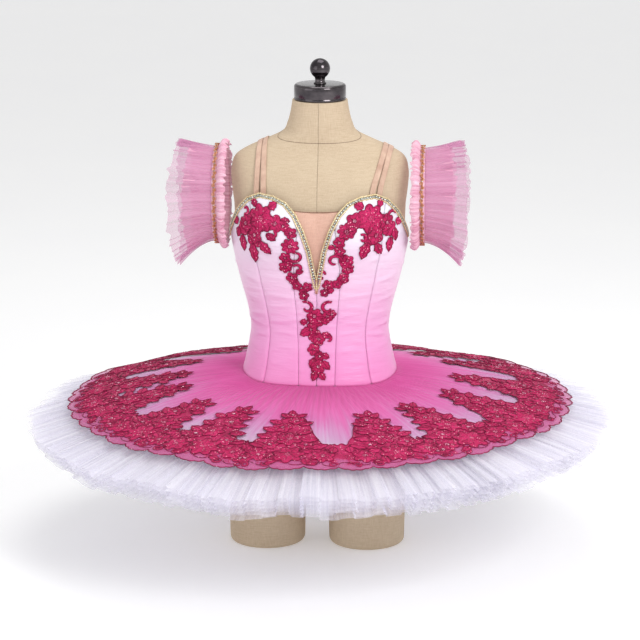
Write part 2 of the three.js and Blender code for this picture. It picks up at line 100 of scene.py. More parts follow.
def set_camera():
    """Look at the middle of the costume from slightly above and right of its front."""
    turn, rise = VIEW["turn"] * DEGREE, VIEW["rise"] * DEGREE
    back = np.array([math.sin(turn) * math.cos(rise), -math.cos(turn) * math.cos(rise), math.sin(rise)])
    data = bpy.data.cameras.new("camera")
    data.sensor_width = 36
    data.lens = 36 * VIEW["distance"] / VIEW["width"]
    camera = bpy.data.objects.new("camera", data)
    camera.location = np.array([0, 0, VIEW["middle"]]) + back * VIEW["distance"]
    camera.rotation_euler = (math.pi / 2 - rise, 0, turn)
    SCENE.collection.objects.link(camera)
    SCENE.camera = camera


def set_lights():
    """Soft key from the front right, weak fill from the left, and a pale room."""
    lamps = (("key", (1.9, -2.6, 2.3), 1.5, 62), ("fill", (-2.4, -2.2, 1.3), 2.0, 13),
             ("top", (0.1, 0.3, 2.9), 1.6, 22))
    for name, place, size, watts in lamps:
        data = bpy.data.lights.new(name, "AREA")
        data.size = size
        data.energy = watts
        lamp = bpy.data.objects.new(name, data)
        lamp.location = place
        aim = np.array([0, 0, 0.45]) - np.array(place)
        aim = aim / np.linalg.norm(aim)
        lamp.rotation_euler = (math.acos(-aim[2]), 0, math.atan2(aim[1], aim[0]) - math.pi / 2)
        SCENE.collection.objects.link(lamp)
    world = bpy.data.worlds.new("room")
    world.use_nodes = True
    tree = world.node_tree
    back = tree.nodes["Background"]
    path = tree.nodes.new("ShaderNodeLightPath")
    seen = tree.nodes.new("ShaderNodeMix")
    seen.inputs["A"].default_value = 0.62
    seen.inputs["B"].default_value = 1.0
    tree.links.new(path.outputs["Is Camera Ray"], seen.inputs["Factor"])
    tree.links.new(seen.outputs["Result"], back.inputs["Strength"])
    back.inputs["Color"].default_value = (1, 1, 1, 1)
    SCENE.world = world
    SCENE.view_settings.view_transform = "Standard"
    SCENE.cycles.transparent_max_bounces = 48
    SCENE.cycles.max_bounces = 8


# ---------------------------------------------------------------- meshes
def build(name, points, quads=(), tris=(), uv=None):
    """One smooth mesh object from points in millimetres and its four- and three-cornered faces."""
    quads = np.asarray(quads, np.int64).reshape(-1, 4)
    tris = np.asarray(tris, np.int64).reshape(-1, 3)
    corners = np.concatenate([quads.ravel(), tris.ravel()])
    totals = np.concatenate([np.full(len(quads), 4), np.full(len(tris), 3)])
    starts = np.concatenate([[0], np.cumsum(totals)[:-1]])
    mesh = bpy.data.meshes.new(name)
    mesh.vertices.add(len(points))
    mesh.vertices.foreach_set("co", (np.asarray(points) * MM).ravel())
    mesh.loops.add(len(corners))
    mesh.loops.foreach_set("vertex_index", corners)
    mesh.polygons.add(len(totals))
    mesh.polygons.foreach_set("loop_start", starts)
    mesh.polygons.foreach_set("use_smooth", np.ones(len(totals), bool))
    if uv is not None:
        layer = mesh.uv_layers.new(name="cloth")
        layer.data.foreach_set("uv", np.asarray(uv)[corners].ravel())
    mesh.update(calc_edges=True)
    mesh.validate()
    piece = bpy.data.objects.new(name, mesh)
    SCENE.collection.objects.link(piece)
    return piece


def dress(piece, material, nodes=()):
    """Give a piece its finish and the nodes that it stands for."""
    piece.data.materials.append(material)
    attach(piece, "root")
    if nodes:
        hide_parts(*nodes)
    return piece


def thicken(piece, thick):
    """Give a sheet its thickness, inwards from the face that shows."""
    solid = piece.modifiers.new("thickness", "SOLIDIFY")
    solid.thickness = thick * MM
    solid.offset = -1
    return piece


def quads_of(columns, rows, wrap=False, flip=False):
    """Faces of a grid of points, with the last column joined to the first when it wraps."""
    i = np.arange(columns if wrap else columns - 1)[:, None]
    j = np.arange(rows - 1)[None, :]
    here = i * rows + j
    there = (i + 1) % columns * rows + j
    faces = np.stack([here, there, there + 1, here + 1], -1).reshape(-1, 4)
    return faces[:, ::-1] if flip else faces


def cloth_area(piece):
    """The area of one face of a sheet, in square metres."""
    sizes = np.empty(len(piece.data.polygons))
    piece.data.polygons.foreach_get("area", sizes)
    return float(sizes.sum())


def cloth(piece, trims=()):
    """Work out the area of one face of a sheet, in square metres; nothing is done with it."""
    area = cloth_area(piece)


class Pile:
    """Many small shapes gathered into the arrays of one mesh."""

    def __init__(self):
        self.points, self.quads, self.tris, self.count = [], [], [], 0

    def add(self, points, quads=None, tris=None):
        points = np.asarray(points, float).reshape(-1, 3)
        if quads is not None:
            self.quads.append(np.asarray(quads) + self.count)
        if tris is not None:
            self.tris.append(np.asarray(tris) + self.count)
        self.points.append(points)
        self.count += len(points)

    def piece(self, name):
        return build(name, np.concatenate(self.points),
                     np.concatenate(self.quads) if self.quads else (),
                     np.concatenate(self.tris) if self.tris else ())


def unit(vectors):
    return vectors / np.maximum(np.linalg.norm(vectors, axis=-1, keepdims=True), 1e-9)


def tube(pile, path, outward, wide, high=None, sides=6, closed=False):
    """Carry an oval section along a path: across lies in the surface, high stands off it."""
    high = wide if high is None else high
    path = np.asarray(path, float)
    if closed:
        along = np.roll(path, -1, 0) - np.roll(path, 1, 0)
    else:
        along = np.gradient(path, axis=0)
    along = unit(along)
    across = unit(np.cross(along, outward))
    outward = unit(np.cross(across, along))
    angle = np.arange(sides) / sides * 2 * np.pi
    wide = np.broadcast_to(np.asarray(wide, float).reshape(-1, 1, 1), (len(path), 1, 1))
    high = np.broadcast_to(np.asarray(high, float).reshape(-1, 1, 1), (len(path), 1, 1))
    ring = (path[:, None] + wide * np.cos(angle)[None, :, None] * across[:, None]
            + high * np.sin(angle)[None, :, None] * outward[:, None])
    count = len(path)
    i = np.arange(count if closed else count - 1)[:, None]
    k = np.arange(sides)[None, :]
    a = i * sides + k
    b = (i + 1) % count * sides + k
    a2 = i * sides + (k + 1) % sides
    b2 = (i + 1) % count * sides + (k + 1) % sides
    quads = np.stack([a, a2, b2, b], -1).reshape(-1, 4)
    if closed:
        pile.add(ring, quads)
        return
    points = np.concatenate([ring.reshape(-1, 3), path[:1], path[-1:]])
    start, end = count * sides, count * sides + 1
    k = np.arange(sides)
    first = np.stack([np.full(sides, start), (k + 1) % sides, k], -1)
    last = np.stack([np.full(sides, end), (count - 1) * sides + k,
                     (count - 1) * sides + (k + 1) % sides], -1)
    pile.add(points, quads, np.concatenate([first, last]))


def bead(pile, centre, outward, radius, sides=8, height=0.8, flat_top=0.0):
    """A small faceted dome standing on a surface, closed below."""
    outward = unit(np.asarray(outward, float))
    side = unit(np.cross(outward, [0.31, 0.52, 0.79]))
    other = np.cross(outward, side)
    angle = np.arange(sides) / sides * 2 * np.pi
    circle = np.cos(angle)[:, None] * side + np.sin(angle)[:, None] * other
    low = centre + circle * radius
    mid = centre + circle * radius * 0.78 + outward * radius * height * 0.62
    top = centre + outward * radius * height
    under = centre - outward * radius * 0.25
    points = np.concatenate([low, mid, [top], [under]])
    k = np.arange(sides)
    n = (k + 1) % sides
    quads = np.stack([k, n, sides + n, sides + k], -1)
    tris = np.concatenate([np.stack([sides + k, sides + n, np.full(sides, 2 * sides)], -1),
                           np.stack([n, k, np.full(sides, 2 * sides + 1)], -1)])
    pile.add(points, quads, tris)


# ---------------------------------------------------------------- the body line
def read_smooth(table, column, x):
    """The table's column at x, along a smooth curve through its rows."""
    x = np.asarray(x, float)
    keys, values = table[:, 0], table[:, column]
    i = np.clip(np.searchsorted(keys, x), 1, len(keys) - 1)
    before, after = np.maximum(i - 2, 0), np.minimum(i + 1, len(keys) - 1)
    span = keys[i] - keys[i - 1]
    slope_a = (values[i] - values[before]) / (keys[i] - keys[before]) * span
    slope_b = (values[after] - values[i - 1]) / (keys[after] - keys[i - 1]) * span
    t = np.clip((x - keys[i - 1]) / span, 0, 1)
    return ((2 * t**3 - 3 * t**2 + 1) * values[i - 1] + (t**3 - 2 * t**2 + t) * slope_a
            + (3 * t**2 - 2 * t**3) * values[i] + (t**3 - t**2) * slope_b)


def fold(turn):
    """Any turn as 0 to 180 degrees from centre front."""
    around = np.mod(turn, 360)
    return np.where(around > 180, 360 - around, around)


def basque(turn):
    return read_smooth(BASQUE_EDGE, 1, fold(turn))


def neckline(turn):
    return np.interp(fold(turn), NECK_EDGE[:, 0], NECK_EDGE[:, 1])


def body_point(turn, height, out=0.0, rise=BUST["rise"]):
    """Level sections are rounded squares; the bust is two soft mounds on the front."""
    turn, height, out = np.broadcast_arrays(np.asarray(turn, float), np.asarray(height, float),
                                            np.asarray(out, float))
    side, front, back = (read_smooth(BODY, c, height) for c in (1, 2, 3))

    def level(angle):
        s, c = np.sin(angle), np.cos(angle)
        x = side * np.sign(s) * np.abs(s) ** (2 / SECTION_POWER)
        deep = np.where(c > 0, front, back) * np.abs(c) ** (2 / SECTION_POWER)
        mound = np.exp(-((np.abs(x) - BUST["across"]) / BUST["width"]) ** 2
                       - ((height - BUST["height"]) / BUST["tall"]) ** 2)
        y = np.where(c > 0, -deep - rise * mound * np.clip(c * 3, 0, 1), deep)
        return np.stack([x, y, height], -1)

    angle = turn * DEGREE
    along = level(angle + 0.01) - level(angle - 0.01)
    outward = unit(np.stack([along[..., 1], -along[..., 0], np.zeros_like(height)], -1))
    return level(angle) + outward * out[..., None]


def turn_at(across, height):
    """The turn at which the body line is that far from the middle."""
    side = read_smooth(BODY, 1, height)
    sine = np.minimum(1, np.abs(across) / side) ** (SECTION_POWER / 2)
    return np.sign(across) * np.arcsin(sine) / DEGREE


# ---------------------------------------------------------------- shader helpers
class Graph:
    """Short ways to place and join shader nodes."""

    def __init__(self, tree):
        self.tree = tree

    def node(self, kind, inputs=None, **props):
        made = self.tree.nodes.new("ShaderNode" + kind)
        for key, value in props.items():
            setattr(made, key, value)
        for key, value in (inputs or {}).items():
            self.put(made.inputs[key], value)
        return made

    def put(self, socket, value):
        if isinstance(value, bpy.types.NodeSocket):
            self.tree.links.new(value, socket)
        else:
            socket.default_value = value

    def math(self, operation, a, b=0.0, c=0.0, clamp=False):
        made = self.tree.nodes.new("ShaderNodeMath")
        made.operation = operation
        made.use_clamp = clamp
        for socket, value in zip(made.inputs, (a, b, c)):
            self.put(socket, value)
        return made.outputs[0]

    def scaled(self, vector, factors):
        made = self.tree.nodes.new("ShaderNodeVectorMath")
        made.operation = "MULTIPLY"
        self.put(made.inputs[0], vector)
        made.inputs[1].default_value = factors
        return made.outputs[0]

    def span(self, value, low, high, to_low=0.0, to_high=1.0):
        made = self.node("MapRange", {"Value": value, "From Min": low, "From Max": high,
                                      "To Min": to_low, "To Max": to_high})
        return made.outputs["Result"]

    def noise(self, vector, scale, detail=3.0, rough=0.55):
        made = self.node("TexNoise", {"Vector": vector, "Scale": scale, "Detail": detail,
                                      "Roughness": rough})
        return made.outputs["Fac"]

    def cells(self, vector, scale, output="Distance", **props):
        return self.node("TexVoronoi", {"Vector": vector, "Scale": scale}, **props).outputs[output]

    def ramp(self, value, stops):
        made = self.node("ValToRGB", {"Fac": value})
        line = made.color_ramp
        while len(line.elements) < len(stops):
            line.elements.new(0.5)
        for element, (place, colour) in zip(line.elements, stops):
            element.position = place
            element.color = colour
        return made.outputs["Color"]

    def mix(self, share, a, b, blend="MIX"):
        made = self.tree.nodes.new("ShaderNodeMix")
        made.data_type = "RGBA"
        made.blend_type = blend
        for key, value in ((0, share), (6, a), (7, b)):
            self.put(made.inputs[key], value)
        return made.outputs[2]

    def bump(self, height, strength, distance, normal=None):
        made = self.node("Bump", {"Height": height, "Strength": strength, "Distance": distance})
        if normal is not None:
            self.put(made.inputs["Normal"], normal)
        return made.outputs["Normal"]

    def group(self, tree, **inputs):
        made = self.tree.nodes.new("ShaderNodeGroup")
        made.node_tree = tree
        for key, value in inputs.items():
            self.put(made.inputs[key.replace("_", " ")], value)
        return made


def new_group(name, inputs, outputs):
    """An empty shader group with named sockets: its tree, its graph, what comes in and goes out."""
    tree = bpy.data.node_groups.new(name, "ShaderNodeTree")
    for label, kind, value in inputs:
        socket = tree.interface.new_socket(label, in_out="INPUT", socket_type="NodeSocket" + kind)
        if value is not None:
            socket.default_value = value
    for label in outputs:
        tree.interface.new_socket(label, in_out="OUTPUT", socket_type="NodeSocketFloat")
    start = tree.nodes.new("NodeGroupInput")
    end = tree.nodes.new("NodeGroupOutput")
    return tree, Graph(tree), start.outputs, end.inputs


def weave_group():
    """Over-and-under threads: two crossed waves, with a little unevenness from thread to thread."""
    tree, g, inn, out = new_group("thread weave", [("Vector", "Vector", None), ("Pitch", "Float", 0.001)],
                                  ["Height", "Slub"])
    split = g.node("SeparateXYZ", {"Vector": inn["Vector"]})
    x = g.math("ADD", split.outputs["X"], split.outputs["Y"])
    rate = g.math("DIVIDE", 6.2832, inn["Pitch"])
    warp = g.math("SINE", g.math("MULTIPLY", x, rate))
    weft = g.math("SINE", g.math("MULTIPLY", split.outputs["Z"], rate))
    g.put(out["Height"], g.math("MULTIPLY", g.math("ADD", g.math("MULTIPLY", warp, weft), 1.0), 0.5))
    slub = g.noise(g.scaled(inn["Vector"], (60, 60, 900)), 1.0, 2.0)
    slub2 = g.noise(g.scaled(inn["Vector"], (900, 900, 60)), 1.0, 2.0)
    g.put(out["Slub"], g.math("MULTIPLY", g.math("ADD", slub, slub2), 0.5))
    return tree


def gather_group():
    """Streaks that run out from the middle of a gathered ring: noise on the direction from its axis,
    drawn out along the radius, so that it has no join. The nets' colours use them as painted light and shade along the
    gathers."""
    tree, g, inn, out = new_group("gathers", [("Vector", "Vector", None), ("Count", "Float", 60.0),
                                              ("Drift", "Float", 6.0)], ["Streak", "Broad"])
    split = g.node("SeparateXYZ", {"Vector": inn["Vector"]})
    flat = g.node("CombineXYZ", {"X": split.outputs["X"], "Y": split.outputs["Y"], "Z": 0.0})
    length = g.node("VectorMath", {0: flat.outputs[0]}, operation="LENGTH").outputs["Value"]
    direction = g.node("VectorMath", {0: flat.outputs[0]}, operation="NORMALIZE").outputs[0]
    turned = g.node("VectorMath", {0: direction}, operation="SCALE")
    g.put(turned.inputs["Scale"], inn["Count"])
    part = g.node("SeparateXYZ", {"Vector": turned.outputs[0]})
    place = g.node("CombineXYZ", {"X": part.outputs["X"], "Y": part.outputs["Y"],
                                  "Z": g.math("MULTIPLY", length, inn["Drift"])})
    g.put(out["Streak"], g.noise(place.outputs[0], 1.0, 2.0, 0.6))
    g.put(out["Broad"], g.noise(place.outputs[0], 0.22, 2.0, 0.5))
    return tree





def material(name, roughness=0.6, metallic=0.0, **sockets):
    """A material with one Principled shader: the material, its graph and the shader."""
    made = bpy.data.materials.new(name)
    made.use_nodes = True
    tree = made.node_tree
    shader = tree.nodes["Principled BSDF"]
    shader.inputs["Roughness"].default_value = roughness
    shader.inputs["Metallic"].default_value = metallic
    for key, value in sockets.items():
        shader.inputs[key.replace("_", " ")].default_value = value
    return made, Graph(tree), shader.inputs


WEAVE, GATHERS = weave_group(), gather_group()


def object_place(g):
    return g.node("TexCoord").outputs["Object"]


def plain(name, colour, roughness):
    """A thread of one colour, a little uneven."""
    made, g, shader = material(name, roughness)
    tone = g.noise(object_place(g), 300, 2)
    g.put(shader["Base Color"], g.mix(g.span(tone, 0.3, 0.7, 0.0, 0.3), colour, srgb(200, 180, 160)))
    return made


# ---------------------------------------------------------------- finishes
def linen():
    made, g, shader = material("form linen", 0.9, Specular_IOR_Level=0.3)
    place = object_place(g)
    weave = g.group(WEAVE, Vector=place, Pitch=0.0011).outputs
    tone = g.math("ADD", g.math("MULTIPLY", weave["Slub"], 0.8), g.math("MULTIPLY", g.noise(place, 9, 3), 0.3))
    colour = g.ramp(tone, [(0.3, srgb(178, 156, 130)), (0.55, srgb(200, 180, 154)), (0.8, srgb(214, 196, 170))])
    g.put(shader["Base Color"], colour)
    height = g.math("ADD", g.math("MULTIPLY", weave["Height"], 0.5), weave["Slub"])
    g.put(shader["Normal"], g.bump(height, 0.25, 0.0005))
    return made


def chrome():
    made, g, shader = material("cap chrome", 0.14, 1.0)
    place = object_place(g)
    smear = g.noise(place, 38, 4)
    g.put(shader["Base Color"], g.ramp(smear, [(0.3, srgb(66, 62, 66)), (0.7, srgb(104, 98, 100))]))
    g.put(shader["Roughness"], g.span(smear, 0.3, 0.8, 0.09, 0.22))
    scratch = g.noise(g.scaled(place, (40, 40, 2600)), 1.0, 3)
    g.put(shader["Normal"], g.bump(scratch, 0.05, 0.0004))
    return made


def satin():
    made, g, shader = material("bodice satin", 0.34, Sheen_Weight=0.12, Specular_IOR_Level=0.5)
    place = object_place(g)
    height = g.node("SeparateXYZ", {"Vector": place}).outputs["Z"]
    cloud = g.noise(place, 14, 3)
    level = g.math("ADD", height, g.span(cloud, 0.2, 0.8, -0.014, 0.014))
    colour = g.ramp(g.span(level, 0.30, 0.64), [
        (0.0, srgb(240, 146, 204)), (0.16, srgb(240, 158, 212)), (0.36, srgb(240, 176, 221)),
        (0.54, srgb(239, 198, 229)), (0.72, srgb(237, 219, 238)), (0.9, srgb(235, 231, 244))])
    g.put(shader["Base Color"], colour)
    grain = g.noise(g.scaled(place, (500, 500, 5200)), 1.0, 2)
    pull = g.noise(g.scaled(place, (14, 14, 80)), 1.0, 3)
    g.put(shader["Roughness"], g.span(grain, 0.2, 0.8, 0.28, 0.42))
    fine = g.bump(grain, 0.08, 0.0003)
    g.put(shader["Normal"], g.bump(pull, 0.4, 0.005, fine))
    return made


def skin_net():
    made, g, shader = material("skin net", 0.75, Sheen_Weight=0.3)
    place = object_place(g)
    thread = g.group(WEAVE, Vector=place, Pitch=0.0012).outputs
    g.put(shader["Base Color"], g.ramp(thread["Slub"], [(0.3, srgb(214, 168, 148)), (0.7, srgb(233, 192, 172))]))
    g.put(shader["Normal"], g.bump(thread["Height"], 0.3, 0.0003))
    g.put(shader["Alpha"], g.span(g.noise(place, 1200, 1), 0.3, 0.7, 0.82, 0.98))
    return made


def elastic():
    made, g, shader = material("strap elastic", 0.7, Sheen_Weight=0.1)
    place = object_place(g)
    height = g.node("SeparateXYZ", {"Vector": place}).outputs["Z"]
    ribs = g.math("SINE", g.math("MULTIPLY", height, 6.2832 / 0.0013))
    g.put(shader["Base Color"], g.ramp(g.noise(place, 60, 3), [(0.3, srgb(192, 154, 134)), (0.7, srgb(216, 184, 162))]))
    g.put(shader["Normal"], g.bump(ribs, 0.5, 0.0003))
    return made


def gold_thread(name, dark, middle, light):
    made, g, shader = material(name, 0.38, 0.6)
    place = object_place(g)
    tone = g.noise(place, 420, 2)
    g.put(shader["Base Color"], g.ramp(tone, [(0.25, dark), (0.5, middle), (0.8, light)]))
    g.put(shader["Roughness"], g.span(tone, 0.2, 0.8, 0.5, 0.24))
    g.put(shader["Normal"], g.bump(g.noise(place, 1500, 1), 0.5, 0.0004))
    return made


def gem(name, dark, middle, light):
    """Small faceted stones and sequins, each catching its own tone."""
    made, g, shader = material(name, 0.08, 0.6)
    tone = g.noise(object_place(g), 260, 1)
    g.put(shader["Base Color"], g.ramp(tone, [(0.3, dark), (0.55, middle), (0.75, light)]))
    return made


def glitter_group():
    """Sewn sequins: a scatter of small round spots, each fully on or off. The lace paints some of them dark and some
    pale pink, as painted glints.
    """
    tree, g, inn, out = new_group("sequins", [("Vector", "Vector", None), ("Cells", "Float", 260.0),
                                              ("Share", "Float", 0.2)], ["Spot"])
    cell = g.node("TexVoronoi", {"Vector": inn["Vector"], "Scale": inn["Cells"]})
    chance = g.node("SeparateXYZ", {"Vector": cell.outputs["Color"]}).outputs["X"]
    near = g.math("LESS_THAN", cell.outputs["Distance"], 0.32)
    g.put(out["Spot"], g.math("MULTIPLY", near, g.math("LESS_THAN", chance, inn["Share"])))
    return tree


def lace_colours(g, shader, place, dark, middle, light, share):
    """Uneven matt thread, darker in patches, with dark sequins worked into it and pale pink spots on sequins that are
    painted glints.
    """
    stitch = g.noise(place, 560, 3, 0.7)
    patch = g.noise(place, 42, 4, 0.6)
    tone = g.math("ADD", g.math("MULTIPLY", stitch, 0.62), g.math("MULTIPLY", patch, 0.5))
    colour = g.ramp(tone, [(0.4, dark), (0.56, middle), (0.72, light)])
    # Pale pink spots on the sequins, a little glossier: painted glints that stand in for light the sequins catch.
    sequin_glint = g.group(GLITTER, Vector=place, Cells=300.0, Share=share).outputs["Spot"]
    deep = g.group(GLITTER, Vector=g.scaled(place, (1.1, 1.1, 1.1)), Cells=260.0, Share=share * 1.6).outputs["Spot"]
    colour = g.mix(deep, colour, srgb(104, 10, 52))
    g.put(shader["Base Color"], g.mix(sequin_glint, colour, srgb(246, 168, 190)))
    g.put(shader["Roughness"], g.span(sequin_glint, 0, 1, 0.6, 0.25))
    g.put(shader["Normal"], g.bump(stitch, 0.8, 0.0014))


GLITTER = glitter_group()


def lace_thread(name, dark, middle, light, share=0.14):
    """Corded lace: uneven matt thread with a scatter of sequins, some of them with painted glints."""
    made, g, shader = material(name, 0.6, Specular_IOR_Level=0.3)
    lace_colours(g, shader, object_place(g), dark, middle, light, share)
    return made


def lace_net():
    """The lace's own ground: closely worked in its fingers and band, open net along its scallops."""
    made, g, shader = material("lace ground", 0.7, Specular_IOR_Level=0.3)
    place = object_place(g)
    lace_colours(g, shader, place, srgb(126, 8, 58), srgb(178, 18, 82), srgb(208, 48, 110), 0.2)
    ring = radius_of(g, place)
    worked = g.noise(place, 52, 3, 0.6)
    edge = g.math("ADD", ring, g.span(worked, 0.3, 0.7, -0.016, 0.016))
    open_net = g.span(edge, 0.420, 0.428)
    colour = shader["Base Color"].links[0].from_socket
    g.put(shader["Base Color"], g.mix(open_net, colour, srgb(212, 84, 150)))
    thread = g.noise(place, 620, 2)
    solid = g.span(thread, 0.30, 0.45, 0.8, 1.0)
    light = g.span(thread, 0.35, 0.65, 0.5, 0.78)
    share = g.node("Mix", {"Factor": open_net})
    g.put(share.inputs["A"], solid)
    g.put(share.inputs["B"], light)
    g.put(shader["Alpha"], share.outputs["Result"])
    return made


def radius_of(g, place):
    """How far a point is from the upright axis, in metres."""
    split = g.node("SeparateXYZ", {"Vector": place})
    flat = g.node("CombineXYZ", {"X": split.outputs["X"], "Y": split.outputs["Y"], "Z": 0.0})
    return g.node("VectorMath", {0: flat.outputs[0]}, operation="LENGTH").outputs["Value"]


def shaded_net():
    made, g, shader = material("shaded net", 0.8, Sheen_Weight=0.15, Specular_IOR_Level=0.25)
    place = object_place(g)
    gathers = g.group(GATHERS, Vector=place, Count=70.0, Drift=7.0).outputs
    # Colour from magenta at the waist to pale at the rim, as the net is dyed, plus painted light and shade down the
    # gather streaks and painted highlights on the broad folds; the net's cover follows it too.
    ombre_and_painted_fold_light = g.math("ADD", radius_of(g, place), g.span(gathers["Streak"], 0.3, 0.7, -0.022, 0.022))
    ombre_and_painted_fold_light = g.math("ADD", ombre_and_painted_fold_light, g.span(gathers["Broad"], 0.3, 0.7, -0.03, 0.03))
    colour = g.ramp(g.span(ombre_and_painted_fold_light, 0.12, 0.42), [
        (0.0, srgb(214, 84, 158)), (0.30, srgb(218, 94, 166)), (0.52, srgb(218, 112, 178)),
        (0.72, srgb(219, 154, 204)), (0.95, srgb(224, 200, 226))])
    # Painted shade and light: the colour is darkened and lightened down the gather streaks.
    shade = g.span(gathers["Streak"], 0.3, 0.7, 0.93, 1.06)
    painted_shade_tint = g.node("CombineXYZ", {"X": shade, "Y": shade, "Z": shade}).outputs[0]
    g.put(shader["Base Color"], g.mix(1.0, colour, painted_shade_tint, "MULTIPLY"))
    g.put(shader["Alpha"], g.span(ombre_and_painted_fold_light, 0.24, 0.38, 0.95, 0.6))
    g.put(shader["Normal"], g.bump(gathers["Streak"], 0.22, 0.004))
    return made


def white_net():
    """Stiff net: faint streaks down the gathers, the darker ones painted shade, and a fine mesh, seen through where it
    is one layer.
    """
    made, g, shader = material("white tulle", 0.8, Specular_IOR_Level=0.25)
    place = object_place(g)
    gathers = g.group(GATHERS, Vector=place, Count=60.0, Drift=5.0).outputs
    # Darker lilac-grey down the gather streaks: painted shade in the folds of the gathers.
    g.put(shader["Base Color"], g.ramp(gathers["Streak"], [(0.3, srgb(232, 229, 243)), (0.7, srgb(246, 244, 252))]))
    mesh = g.noise(place, 900, 1)
    cover = g.math("ADD", g.span(gathers["Streak"], 0.3, 0.7, 0.29, 0.39), g.span(mesh, 0.3, 0.7, -0.05, 0.05))
    g.put(shader["Alpha"], cover)
    g.put(shader["Normal"], g.bump(gathers["Streak"], 0.15, 0.002))
    return made


def arm_net(name, dark, light, low, high):
    """Soft tulle of the arm frills: streaks run along the arm's own line; the darker tone down them is painted shade in
    the gathers.
    """
    made, g, shader = material(name, 0.8, Sheen_Weight=0.15, Specular_IOR_Level=0.25)
    place = object_place(g)
    split = g.node("SeparateXYZ", {"Vector": place})
    centred = g.node("CombineXYZ", {"X": split.outputs["Y"],
                                    "Y": g.math("SUBTRACT", split.outputs["Z"], ARM_HEIGHT * MM),
                                    "Z": 0.0})
    gathers = g.group(GATHERS, Vector=centred.outputs[0], Count=22.0, Drift=5.0).outputs
    # Darker down the gather streaks: painted shade in the folds.
    g.put(shader["Base Color"], g.ramp(gathers["Streak"], [(0.34, dark), (0.66, light)]))
    mesh = g.noise(place, 900, 1)
    cover = g.math("ADD", g.span(gathers["Streak"], 0.3, 0.7, low, high), g.span(mesh, 0.3, 0.7, -0.08, 0.08))
    g.put(shader["Alpha"], cover)
    g.put(shader["Normal"], g.bump(gathers["Streak"], 0.2, 0.002))
    return made


def floor_paint():
    made, g, shader = material("floor", 0.9, Specular_IOR_Level=0.1)
    tone = g.noise(object_place(g), 3, 2)
    g.put(shader["Base Color"], g.ramp(tone, [(0.2, (0.88, 0.88, 0.89, 1)), (0.8, (0.9, 0.9, 0.9, 1))]))
    shader["Emission Color"].default_value = (1, 1, 1, 1)
    shader["Emission Strength"].default_value = 0.22
    return made


LINEN, CHROME, SATIN = linen(), chrome(), satin()
SEAM = plain("seam thread", srgb(118, 98, 80), 0.9)
BINDING = plain("insert binding", srgb(128, 84, 66), 0.8)
SKIN_NET, ELASTIC = skin_net(), elastic()
GEM = gem("pale gems", srgb(132, 146, 136), srgb(196, 204, 192), srgb(248, 246, 236))
LACE_BEAD = gem("lace beads", srgb(170, 40, 96), srgb(228, 150, 180), srgb(250, 226, 232))
PALE_GOLD = gold_thread("pale gold", srgb(176, 150, 104), srgb(226, 206, 160), srgb(252, 244, 220))
COPPER = gold_thread("copper gold", srgb(130, 74, 52), srgb(200, 134, 92), srgb(246, 204, 160))
LACE = lace_thread("crimson lace", srgb(132, 8, 60), srgb(188, 18, 86), srgb(216, 50, 114))
CORD = lace_thread("crimson cord", srgb(92, 8, 44), srgb(140, 14, 66), srgb(182, 32, 92), 0.05)
LACE_NET, SHADED_NET, WHITE_NET = lace_net(), shaded_net(), white_net()
FRILL_OVER = arm_net("arm tulle over", srgb(190, 122, 162), srgb(214, 156, 190), 0.34, 0.5)
FRILL_UNDER = arm_net("arm tulle under", srgb(222, 150, 186), srgb(240, 186, 210), 0.55, 0.8)
HEADING = arm_net("arm heading", srgb(226, 160, 186), srgb(244, 204, 220), 0.78, 0.97)


# ---------------------------------------------------------------- the dress form
def neck_seam_height(turn):
    """The seam round the foot of the neck dips at the front."""
    return 748 - 11.5 * np.cos(turn * DEGREE)


